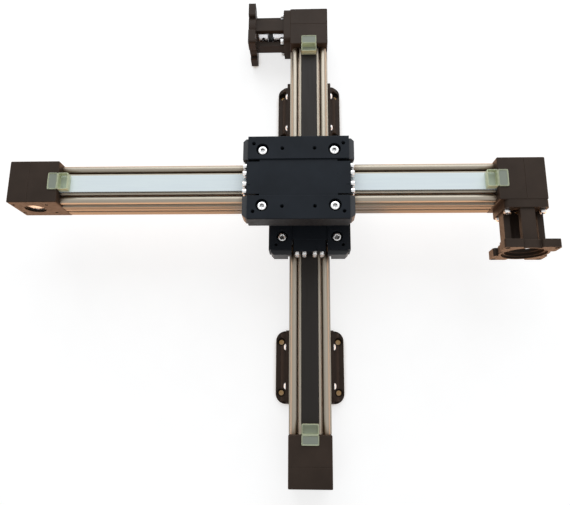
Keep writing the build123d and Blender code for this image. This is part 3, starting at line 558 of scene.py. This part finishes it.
def grid_faces(rows, columns, close_rows=False):
    """Quads between neighbouring points of a grid that is closed along its columns."""
    last = rows if close_rows else rows - 1
    row, column = np.meshgrid(np.arange(last), np.arange(columns), indexing="ij")
    below, beside = (row + 1) % rows, (column + 1) % columns
    corners = ((row, column), (row, beside), (below, beside), (below, column))
    return np.stack([line * columns + place for line, place in corners], axis=-1).reshape(-1, 4)


def merge_poles(mesh, face_outward):
    """Makes points in one place, as in a closed pole, one point, and can turn faces outward."""
    work = bmesh.new()
    work.from_mesh(mesh)
    bmesh.ops.remove_doubles(work, verts=work.verts, dist=merge_distance)
    if face_outward:
        bmesh.ops.recalc_face_normals(work, faces=work.faces)
    work.to_mesh(mesh)
    work.free()


def lay_piece(name, grids, body, material, replaced=()):
    """One object from several grids, each a pair of points (rows, columns, 3) and close_rows."""
    points, faces, start = [], [], 0
    for grid, close_rows in grids:
        rows, columns = grid.shape[:2]
        points.append(grid.reshape(-1, 3))
        faces.append(grid_faces(rows, columns, close_rows) + start)
        start += rows * columns
    points, faces = np.concatenate(points), np.concatenate(faces)
    mesh = bpy.data.meshes.new(name)
    mesh.vertices.add(len(points))
    mesh.vertices.foreach_set("co", points.ravel())
    mesh.loops.add(faces.size)
    mesh.loops.foreach_set("vertex_index", faces.ravel())
    mesh.polygons.add(len(faces))
    mesh.polygons.foreach_set("loop_start", np.arange(0, faces.size, 4))
    mesh.update(calc_edges=True)
    merge_poles(mesh, face_outward=True)
    mesh.polygons.foreach_set("use_smooth", np.ones(len(mesh.polygons), dtype=bool))
    mesh.set_sharp_from_angle(angle=sharp_angle)
    mesh.materials.append(material)
    piece = bpy.data.objects.new(name, mesh)
    bpy.context.scene.collection.objects.link(piece)
    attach(piece, body)
    if replaced:
        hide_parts(*replaced)
    return piece


def solids_of(node):
    """Corner points of each separate solid in a node, found by spreading labels over its faces."""
    mesh = frame["nodes"][node].data
    points = np.empty(len(mesh.vertices) * 3)
    mesh.vertices.foreach_get("co", points)
    points = points.reshape(-1, 3)
    corners = np.empty(len(mesh.loops), dtype=int)
    mesh.loops.foreach_get("vertex_index", corners)
    merged = np.unique(np.round(points, merge_decimals), axis=0, return_inverse=True)[1].ravel()
    triangles = merged[corners].reshape(-1, 3)
    label = np.arange(merged.max() + 1)
    while True:
        spread = label.copy()
        np.minimum.at(spread, triangles.ravel(), np.repeat(label[triangles].min(axis=1), 3))
        if (spread == label).all():
            break
        label = spread
    of_point = label[merged]
    return [points[of_point == value] for value in np.unique(of_point)]


# Profiles turned round an axis

ROUND, HEXAGON, FLUTED = 0, 1, 2


def hexagon_share(angle):
    """Radius over inscribed radius: one over the cosine of the angle from the nearest flat's middle."""
    return 1 / np.cos((angle + np.pi / 6) % (np.pi / 3) - np.pi / 6)


def turned(centre, axis, toward, profile, columns):
    """A profile turned round an axis line.

    Each profile row holds a radius, a height along the axis, and a shape: ROUND for a circle,
    HEXAGON for a hexagon of that inscribed radius, and FLUTED for a circle with shallow flutes. The
    point at an angle is the centre plus the height along the axis plus the ring's radius there: the
    row's radius, that radius times the hexagon's share, or that radius less a cosine wave.
    """
    knurl_depth = settings().fasteners.knurl_depth
    angle = np.arange(columns) * 2 * np.pi / columns
    radius, height, shape = np.array(profile, dtype=float).T[:, :, None]
    flute = knurl_depth * (1 - np.cos(angle * columns / 2)) / 2
    ring = radius * np.where(shape == HEXAGON, hexagon_share(angle), 1.0)
    ring = ring - np.where(shape == FLUTED, flute, 0.0)
    first, second = [other for other in AXES if other != axis]
    points = np.empty((len(profile), columns, 3))
    points[:, :, first] = centre[first] + ring * np.cos(angle)
    points[:, :, second] = centre[second] + ring * np.sin(angle)
    points[:, :, axis] = centre[axis] + toward * height
    return points


def head_places(node, axis, toward):
    """For each screw in a node: the middle of its head's top, the way it faces, width and length.

    toward is the way the heads face, or 0 where they face away from the node's middle.
    """
    middle = sum(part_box(node)[side][axis] for side in (0, 1)) / 2
    across = [other for other in AXES if other != axis]
    places = []
    for solid in solids_of(node):
        low, high = solid.min(axis=0), solid.max(axis=0)
        facing = toward or (1 if (low + high)[axis] / 2 > middle else -1)
        top = (low + high) / 2
        top[axis] = high[axis] if facing > 0 else low[axis]
        places.append((top, facing, (high - low)[across].min(), (high - low)[axis]))
    return places


# Cap screws

cap_socket_depth_share = 0.55
cap_socket_rim_share = 1.28

# Node, body, axis, the way the heads face (0 is outwards both ways), head height, core diameter
cap_screw_sets = (
    ("lower_housing_screws", "base", Y_AXIS, 0, 3.0 * mm, 2.7 * mm),
    ("upper_housing_screws", "y_carriage", X_AXIS, 0, 3.0 * mm, 2.7 * mm),
    ("lower_adapter_screws", "base", X_AXIS, -1, 4.0 * mm, 3.3 * mm),
    ("upper_adapter_screws", "y_carriage", Y_AXIS, -1, 4.0 * mm, 3.3 * mm),
    ("lower_clamp_screws", "y_carriage", Y_AXIS, 0, 3.9 * mm, 2.7 * mm),
    ("upper_clamp_screws", "x_carriage", X_AXIS, 0, 3.9 * mm, 2.7 * mm),
    ("cross_screws", "y_carriage", Z_AXIS, 1, 5.0 * mm, 4.1 * mm),
)


def cap_screw(top, axis, facing, width, length, head_height, core):
    """A socket cap screw: bevelled and fluted head, hexagon socket, plain shank with a dog point."""
    sizes = settings().fasteners
    bevel = sizes.head_chamfer
    head, socket, shank = width / 2, width / 2 * sizes.socket_share, core / 2
    depth = head_height * cap_socket_depth_share
    profile = [
        (0, -depth - bevel / 2, ROUND),
        (socket, -depth, HEXAGON),
        (socket, -bevel, HEXAGON),
        (socket * cap_socket_rim_share, 0, ROUND),
        (head - bevel, 0, ROUND),
        (head - bevel / 4, -bevel / 2, ROUND),
        (head, -bevel * 1.2, FLUTED),
        (head, bevel - head_height, FLUTED),
        (head - bevel / 3, -head_height, ROUND),
        (shank, -head_height, ROUND),
        (shank, bevel - length, ROUND),
        (shank - bevel, -length, ROUND),
        (0, -length, ROUND),
    ]
    return turned(top, axis, facing, profile, sizes.segments), False


class ROBOT_OT_cap_screws(bpy.types.Operator):
    """Turns every socket cap screw of the housings, adapters, belt clamps and cross plate"""

    bl_idname = "robot.cap_screws"
    bl_label = "Cap screws"

    def execute(self, context):
        material = finish_called("screw_steel")
        for node, body, axis, toward, head_height, core in cap_screw_sets:
            grids = [
                cap_screw(top, axis, facing, width, length, head_height, core)
                for top, facing, width, length in head_places(node, axis, toward)
            ]
            lay_piece(f"turned_{node}", grids, body, material, (node,))
        return {"FINISHED"}


# Shoulder bolts of the guide rollers

bolt_head_height = 4.2 * mm
bolt_head_radius = 4.5 * mm
bolt_socket_radius = 2.0 * mm
bolt_socket_depth = 2.2 * mm
bolt_socket_rim_share = 1.3
bolt_shank_radius = 3.0 * mm
bolt_washer_radius = 5.0 * mm
bolt_washer_top = 13.0 * mm
bolt_washer_bottom = 14.35 * mm
bolt_nut_height = 2.4 * mm
bolt_nut_radius = 3.89 * mm


def shoulder_bolt(top, length):
    """A bolt from its socket to its nut: head, shoulder, washer above the roller, nut below it."""
    sizes = settings().fasteners
    bevel = sizes.head_chamfer
    profile = [
        (0, -bolt_socket_depth - bevel, ROUND),
        (bolt_socket_radius, -bolt_socket_depth, HEXAGON),
        (bolt_socket_radius, -bevel, HEXAGON),
        (bolt_socket_radius * bolt_socket_rim_share, 0, ROUND),
        (bolt_head_radius - 1.6 * bevel, 0, ROUND),
        (bolt_head_radius - bevel / 3, -bevel * 0.7, ROUND),
        (bolt_head_radius, -bevel * 1.8, ROUND),
        (bolt_head_radius, bevel / 3 - bolt_head_height, ROUND),
        (bolt_head_radius - bevel / 3, -bolt_head_height, ROUND),
        (bolt_shank_radius, -bolt_head_height, ROUND),
        (bolt_shank_radius, -bolt_washer_top, ROUND),
        (bolt_washer_radius, -bolt_washer_top, ROUND),
        (bolt_washer_radius, -bolt_washer_bottom, ROUND),
        (bolt_shank_radius, -bolt_washer_bottom, ROUND),
        (bolt_shank_radius, bolt_nut_height - length, ROUND),
        (bolt_nut_radius, bolt_nut_height - length, HEXAGON),
        (bolt_nut_radius, bevel - length, HEXAGON),
        (bolt_nut_radius - bevel / 2, -length, ROUND),
        (0, -length, ROUND),
    ]
    return turned(top, Z_AXIS, 1, profile, sizes.segments), False


class ROBOT_OT_shoulder_bolts(bpy.types.Operator):
    """Turns the bolts that carry the guide rollers"""

    bl_idname = "robot.shoulder_bolts"
    bl_label = "Shoulder bolts"

    def execute(self, context):
        material = finish_called("screw_steel")
        for node, body in (("lower_roller_bolts", "y_carriage"), ("upper_roller_bolts", "x_carriage")):
            grids = [shoulder_bolt(top, length) for top, _, _, length in head_places(node, Z_AXIS, 1)]
            lay_piece(f"turned_{node}", grids, body, material, (node,))
        return {"FINISHED"}


# Rounded boxes and trays

moulded_columns = 56
nut_corner_power = 14.0
bumper_corner_power = 12.0
floor_corner_power = 9.0


def rounded_ring(half_u, half_v, power):
    """Points of a superellipse: each cosine and sine is raised to 2 over the power, sign kept."""
    angle = (np.arange(moulded_columns) + 0.5) * 2 * np.pi / moulded_columns
    curve = [np.sign(wave) * np.abs(wave) ** (2 / power) for wave in (np.cos(angle), np.sin(angle))]
    return half_u * curve[0], half_v * curve[1]


def moulded(centre, half, profile, power, across=(X_AXIS, Y_AXIS)):
    """A profile carried round a rounded rectangle.

    Each row holds an inset from the rectangle's edge and a height. The ring of a row is the
    rectangle with both half sizes made smaller by the inset. An inset of None closes it to a point.
    """
    up = sum(AXES) - sum(across)
    points = np.empty((len(profile), moulded_columns, 3))
    for number, (inset, height) in enumerate(profile):
        half_sizes = (0.0, 0.0) if inset is None else (half[0] - inset, half[1] - inset)
        ring = rounded_ring(*half_sizes, power)
        points[number, :, across[0]] = centre[across[0]] + ring[0]
        points[number, :, across[1]] = centre[across[1]] + ring[1]
        points[number, :, up] = centre[up] + height
    return points, False


# Foot screws with their slot nuts

button_radius = 3.8 * mm
button_height = 2.2 * mm
button_socket_radius = 1.5 * mm
button_socket_top_share, button_socket_end_share, button_socket_tip_share = 0.08, 0.7, 0.75
button_core_radius = 1.85 * mm
dome_start_share, dome_rows = 0.35, 7
slot_nut_depth = 4.0 * mm
slot_nut_edge = 0.3 * mm


def button_screw(top, facing, length):
    """A domed head: its radius follows a quarter ellipse from the socket's rim to the seat."""
    arc = np.linspace(dome_start_share, 1.0, dome_rows) * np.pi / 2
    rise = np.cos(arc) / np.cos(arc[0])
    dome = [
        (button_radius * np.sin(step), button_height * (share - 1), ROUND)
        for step, share in zip(arc, rise)
    ]
    profile = [
        (0, -button_height * button_socket_tip_share, ROUND),
        (button_socket_radius, -button_height * button_socket_end_share, HEXAGON),
        (button_socket_radius, -button_height * button_socket_top_share, HEXAGON),
        *dome,
        (button_core_radius, -button_height, ROUND),
        (button_core_radius, slot_nut_depth / 2 - length, ROUND),
        (0, slot_nut_depth / 2 - length, ROUND),
    ]
    return turned(top, X_AXIS, facing, profile, settings().fasteners.segments), False


def slot_nut(back, half, facing):
    """A block with eased edges that grows from its back the way the screw faces."""
    depth, edge = facing * slot_nut_depth, facing * slot_nut_edge
    profile = [
        (None, 0),
        (slot_nut_edge, 0),
        (0, edge),
        (0, depth - edge),
        (slot_nut_edge, depth),
        (None, depth),
    ]
    return moulded(back, half, profile, nut_corner_power, (Y_AXIS, Z_AXIS))


class ROBOT_OT_foot_screws(bpy.types.Operator):
    """Turns the button screws of the feet and rounds their slot nuts"""

    bl_idname = "robot.foot_screws"
    bl_label = "Foot screws"

    def execute(self, context):
        node, grids = "foot_fasteners", []
        for solid in solids_of(node):
            low, high = solid.min(axis=0), solid.max(axis=0)
            middle, size = (low + high) / 2, high - low
            facing = 1 if middle[X_AXIS] > 0 else -1
            outer, inner = (high, low) if facing > 0 else (low, high)
            top, back = middle.copy(), middle.copy()
            top[X_AXIS], back[X_AXIS] = outer[X_AXIS], inner[X_AXIS]
            grids.append(button_screw(top, facing, size[X_AXIS]))
            grids.append(slot_nut(back, size[[Y_AXIS, Z_AXIS]] / 2, facing))
        lay_piece(f"turned_{node}", grids, "base", finish_called("screw_steel"), (node,))
        return {"FINISHED"}


# Bumpers: a shallow pad on the housing and a deep box over the belt

pad_floor = 0.8 * mm
pad_rise = 1.6 * mm
bumper_wall = 0.9 * mm
box_floor = 1.6 * mm
bumper_skin = 0.02 * mm
lip_rows = 9


def tray_profile(height, floor):
    """From under the middle, out and up the side, over a round lip and down to the floor."""
    lip, radius = np.linspace(0, np.pi, lip_rows), bumper_wall / 2
    crest = [(radius * (1 - np.cos(step)), height - radius * (1 - np.sin(step))) for step in lip]
    ease = min(bumper_wall, height - floor) / 3
    return [
        (None, 0),
        (ease, 0),
        (0, ease),
        *crest,
        (bumper_wall, floor + ease),
        (bumper_wall + ease, floor),
        (None, floor),
    ]


class ROBOT_OT_bumpers(bpy.types.Operator):
    """Moulds the rubber bumpers with round lips and pulled-in corners"""

    bl_idname = "robot.bumpers"
    bl_label = "Bumpers"

    def execute(self, context):
        material = finish_called("bumper_rubber")
        for module, along, body in (("lower", Y_AXIS, "base"), ("upper", X_AXIS, "y_carriage")):
            node, grids = f"{module}_bumpers", []
            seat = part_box(f"{module}_idler_housing")[1][Z_AXIS]
            profile_low, profile_high = (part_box(f"{module}_profile")[side][along] for side in (0, 1))
            for solid in solids_of(node):
                low, high = solid.min(axis=0), solid.max(axis=0)
                near_low = high[along] < (profile_low + profile_high) / 2
                back, front = (low[along], high[along]) if near_low else (high[along], low[along])
                face = profile_low if near_low else profile_high
                centre, half = (low + high) / 2, (high - low) / 2 - bumper_skin
                trays = (
                    (back, face, seat, tray_profile(pad_rise, pad_floor)),
                    (face, front, low[Z_AXIS], tray_profile((high - low)[Z_AXIS], box_floor)),
                )
                for start, stop, bottom, profile in trays:
                    centre[along], centre[Z_AXIS] = (start + stop) / 2, bottom
                    half[along] = abs(stop - start) / 2
                    grids.append(moulded(centre, half, profile, bumper_corner_power))
            lay_piece(f"moulded_{node}", grids, body, material, (node,))
        return {"FINISHED"}


# Ball bearings

race_share = 0.22
shield_recess = 0.35 * mm
ring_ease = 0.35 * mm
bearing_columns = 64


def bearing(middle, axis, outer, inner, half_width):
    """A closed profile turned round the shaft: rounded rings with a stepped shield between them."""
    race = (outer - inner) * race_share
    shield = half_width - shield_recess
    side = [
        (inner + ring_ease, half_width),
        (inner + race, half_width),
        (inner + race, shield - shield_recess),
        (inner + race + ring_ease, shield),
        (outer - race - ring_ease * 2, shield),
        (outer - race - ring_ease, shield - shield_recess),
        (outer - race, shield - shield_recess),
        (outer - race, half_width),
        (outer - ring_ease, half_width),
        (outer, half_width - ring_ease),
    ]
    profile = side + [(radius, -height) for radius, height in reversed(side)]
    profile += [(inner, ring_ease - half_width), (inner, half_width - ring_ease)]
    rows = [(radius, height, ROUND) for radius, height in profile]
    return turned(middle, axis, 1, rows, bearing_columns), True


class ROBOT_OT_bearings(bpy.types.Operator):
    """Turns the shielded ball bearings of the pulley shafts"""

    bl_idname = "robot.bearings"
    bl_label = "Bearings"

    def execute(self, context):
        material = finish_called("bearing_steel")
        for module, axis, body in (("lower", X_AXIS, "base"), ("upper", Y_AXIS, "y_carriage")):
            node, grids = f"{module}_bearings", []
            for solid in solids_of(node):
                low, high = solid.min(axis=0), solid.max(axis=0)
                middle = (low + high) / 2
                outer = (high - low)[Z_AXIS] / 2
                reach = np.delete(solid - middle, axis, axis=1)
                inner = np.sqrt((reach ** 2).sum(axis=1)).min()
                grids.append(bearing(middle, axis, outer, inner, (high - low)[axis] / 2))
            lay_piece(f"turned_{node}", grids, body, material, (node,))
        return {"FINISHED"}


# Threads in the tapped holes of the carriages

# Reach from the carriage's middle along its slide and across it, radius and depth
tapped_holes = (
    (16.4 * mm, 31.0 * mm, 2.1 * mm, 12.0 * mm),
    (45.6 * mm, 36.3 * mm, 2.1 * mm, 8.0 * mm),
)
thread_turn_steps = 16
thread_bite = 0.01 * mm
crest_share, flank_share, first_turn_share = 0.45, 0.42, 0.6


def thread(mouth, radius, depth):
    """A helix of triangular section: height falls by one pitch a turn, and the crest points inwards.

    Both ends fade out over the last radian.
    """
    pitch = settings().fasteners.thread_pitch
    turns = (depth - pitch) / pitch
    angle = np.linspace(0, 2 * np.pi * turns, int(turns * thread_turn_steps))[:, None]
    crest = np.array([0.0, 1.0, 0.0])
    rise = np.array([flank_share, 0.0, -flank_share]) * pitch
    fade = np.minimum(1, np.minimum(angle, angle[-1] - angle))
    reach = radius + thread_bite - crest * crest_share * pitch * fade
    points = np.empty((len(angle), len(crest), 3))
    points[:, :, X_AXIS] = mouth[X_AXIS] + reach * np.cos(angle)
    points[:, :, Y_AXIS] = mouth[Y_AXIS] + reach * np.sin(angle)
    fall = pitch * (first_turn_share + angle / (2 * np.pi))
    points[:, :, Z_AXIS] = mouth[Z_AXIS] - fall + rise * fade
    return points, False


class ROBOT_OT_threads(bpy.types.Operator):
    """Cuts threads into the tapped holes of both carriages"""

    bl_idname = "robot.threads"
    bl_label = "Threads"

    def execute(self, context):
        material = finish_called("carriage_black")
        for module, body, along in (("lower", "y_carriage", Y_AXIS), ("upper", "x_carriage", X_AXIS)):
            left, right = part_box(f"{module}_wing_left"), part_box(f"{module}_wing_right")
            low, high = np.minimum(left[0], right[0]), np.maximum(left[1], right[1])
            grids = []
            for reach_along, reach_across, radius, depth in tapped_holes:
                for side_along in (-1, 1):
                    for side_across in (-1, 1):
                        mouth = (low + high) / 2
                        mouth[Z_AXIS] = high[Z_AXIS]
                        mouth[along] += reach_along * side_along
                        mouth[1 - along] += reach_across * side_across
                        grids.append(thread(mouth, radius, depth))
            lay_piece(f"{module}_tapped_threads", grids, body, material)
        return {"FINISHED"}


# Studio

floor_spread = 2.5
floor_height = -0.2 * mm
floor_grain = 30 * mm
floor_greys = ((0.44, 0.44, 0.44), (0.46, 0.46, 0.46))
floor_emission = 0.72
table_brown = (0.42, 0.27, 0.15)
# Brown painted into the floor's glow where the robot closes it in, as in the feet's holes: a painted
# shade
hole_reach, hole_shade_brown = 10 * mm, (0.26, 0.14, 0.03)
white = (1.0, 1.0, 1.0)
key_place, key_size, key_colour = (0.1, 1.35, 1.25), (2.2, 1.7), (0.93, 0.97, 1.0)
glow_side, glow_front, glow_height = 0.37, -0.15, -0.1 * mm
glow_size, glow_colour = (0.56, 1.1), (1.0, 0.35, 0.0)
# Blender gives a sensor's width as a plain number of millimetres
sensor_width = 36.0
nearest_seen = 10 * mm


def seen_share(tree, unseen, seen):
    """A number that is unseen for scattered light and seen for camera, glossy and clear rays."""
    rays = tree.nodes.new("ShaderNodeLightPath")
    level = tree.nodes.new("ShaderNodeMapRange")
    level.inputs["To Min"].default_value = unseen
    level.inputs["To Max"].default_value = seen
    total = rays.outputs["Is Camera Ray"]
    for kind in ("Is Glossy Ray", "Is Transmission Ray"):
        either = tree.nodes.new("ShaderNodeMath")
        either.operation = "MAXIMUM"
        tree.links.new(total, either.inputs[0])
        tree.links.new(rays.outputs[kind], either.inputs[1])
        total = either.outputs["Value"]
    tree.links.new(total, level.inputs["Value"])
    return level.outputs["Result"]


def floor_finish():
    """Floor that looks white in the open and shows a painted brown shade in holes and tight gaps under
    the robot, and that scatters a table's warm light.
    """
    finish = Finish("studio_floor")
    pale = finish.mixed(finish.between(finish.noise(floor_grain), 0.0, 1.0), *floor_greys)
    base = finish.mixed(seen_share(finish.tree, 0.0, 1.0), table_brown, pale)
    # Painted shade: the floor's glow turns brown where the robot stands close over it
    glow = finish.mixed(finish.crevice(hole_reach, low=0.35, high=0.6), white, hole_shade_brown)
    finish.link(glow, finish.shader.inputs["Emission Color"])
    strength = seen_share(finish.tree, 0.0, floor_emission)
    finish.link(strength, finish.shader.inputs["Emission Strength"])
    finish.constants(Roughness=0.9, Specular_IOR_Level=0.0)
    return finish.done(base)


def make_floor():
    """A rounded pale sheet, far larger than the robot."""
    rows = [(0, 0), (None, 0)]
    half = (floor_spread, floor_spread)
    grid, _ = moulded((0, 0, floor_height), half, rows, floor_corner_power)
    mesh = bpy.data.meshes.new("studio_floor")
    faces = grid_faces(len(rows), moulded_columns)
    mesh.from_pydata(grid.reshape(-1, 3).tolist(), [], faces.tolist())
    merge_poles(mesh, face_outward=False)
    mesh.materials.append(floor_finish())
    floor = bpy.data.objects.new("studio_floor", mesh)
    bpy.context.scene.collection.objects.link(floor)


def area_lamp(name, place, target, size, power, colour):
    """A rectangular lamp that shines from its place towards a target."""
    data = bpy.data.lights.new(name, "AREA")
    data.shape = "RECTANGLE"
    data.size, data.size_y = size
    data.energy = power
    data.color = colour
    lamp = bpy.data.objects.new(name, data)
    lamp.location = place
    lamp.rotation_euler = (Vector(target) - Vector(place)).to_track_quat("-Z", "Y").to_euler()
    bpy.context.scene.collection.objects.link(lamp)
    return lamp


def make_world(strength):
    """Even pale light, seen as white by the camera and in reflections."""
    world = bpy.data.worlds.new("studio")
    world.use_nodes = True
    tree = world.node_tree
    back = tree.nodes["Background"]
    back.inputs["Color"].default_value = (*white, 1)
    tree.links.new(seen_share(tree, strength, 1.0), back.inputs["Strength"])
    bpy.context.scene.world = world


def make_camera(studio):
    """The camera turns by the inverse of the rotation that takes the robot's axes to its own."""
    data = bpy.data.cameras.new("photo_camera")
    data.sensor_fit = "HORIZONTAL"
    data.sensor_width = sensor_width
    data.lens = studio.focal_share * sensor_width
    data.clip_start = nearest_seen
    camera = bpy.data.objects.new("photo_camera", data)
    turn = Vector(studio.turn)
    seen = Matrix.Rotation(turn.length, 3, turn.normalized())
    camera.matrix_world = Matrix.Translation(Vector(studio.eye)) @ seen.transposed().to_4x4()
    bpy.context.scene.collection.objects.link(camera)
    bpy.context.scene.camera = camera


class ROBOT_OT_studio(bpy.types.Operator):
    """Lays the floor and sets the lamps, the sky and the camera"""

    bl_idname = "robot.studio"
    bl_label = "Studio"

    def execute(self, context):
        studio = settings().studio
        make_floor()
        area_lamp("key_lamp", key_place, (0, 0, 0), key_size, studio.key_power, key_colour)
        for side in (-1, 1):
            name = f"warm_lamp_{side + 2}"
            place = (glow_side * side, glow_front, glow_height)
            above = (glow_side * side, glow_front, 1)
            glow = area_lamp(name, place, above, glow_size, studio.warm_power, glow_colour)
            glow.visible_camera = False
        make_world(studio.sky)
        make_camera(studio)
        context.scene.view_settings.view_transform = "Standard"
        return {"FINISHED"}


# The add-on and the script

steps = (
    ROBOT_OT_finishes,
    ROBOT_OT_cap_screws,
    ROBOT_OT_shoulder_bolts,
    ROBOT_OT_foot_screws,
    ROBOT_OT_bumpers,
    ROBOT_OT_bearings,
    ROBOT_OT_threads,
    ROBOT_OT_studio,
)


class ROBOT_PT_looks(bpy.types.Panel):
    """Lists the steps that dress the robot"""

    bl_idname = "ROBOT_PT_looks"
    bl_label = "Robot looks"
    bl_space_type = "VIEW_3D"
    bl_region_type = "UI"
    bl_category = "Robot"

    def draw(self, context):
        for step in steps:
            self.layout.operator(step.bl_idname)


classes = (FinishColours, FastenerSizes, StudioSettings, RobotLooks, *steps, ROBOT_PT_looks)


def register():
    for entry in classes:
        bpy.utils.register_class(entry)
    bpy.types.Scene.robot_looks = PointerProperty(type=RobotLooks)


def unregister():
    del bpy.types.Scene.robot_looks
    for entry in reversed(classes):
        bpy.utils.unregister_class(entry)


def main():
    register()
    bpy.ops.robot.finishes()
    bpy.ops.robot.cap_screws()
    bpy.ops.robot.shoulder_bolts()
    bpy.ops.robot.foot_screws()
    bpy.ops.robot.bumpers()
    bpy.ops.robot.bearings()
    bpy.ops.robot.threads()
    bpy.ops.robot.studio()


if __name__ == "__main__":
    main()
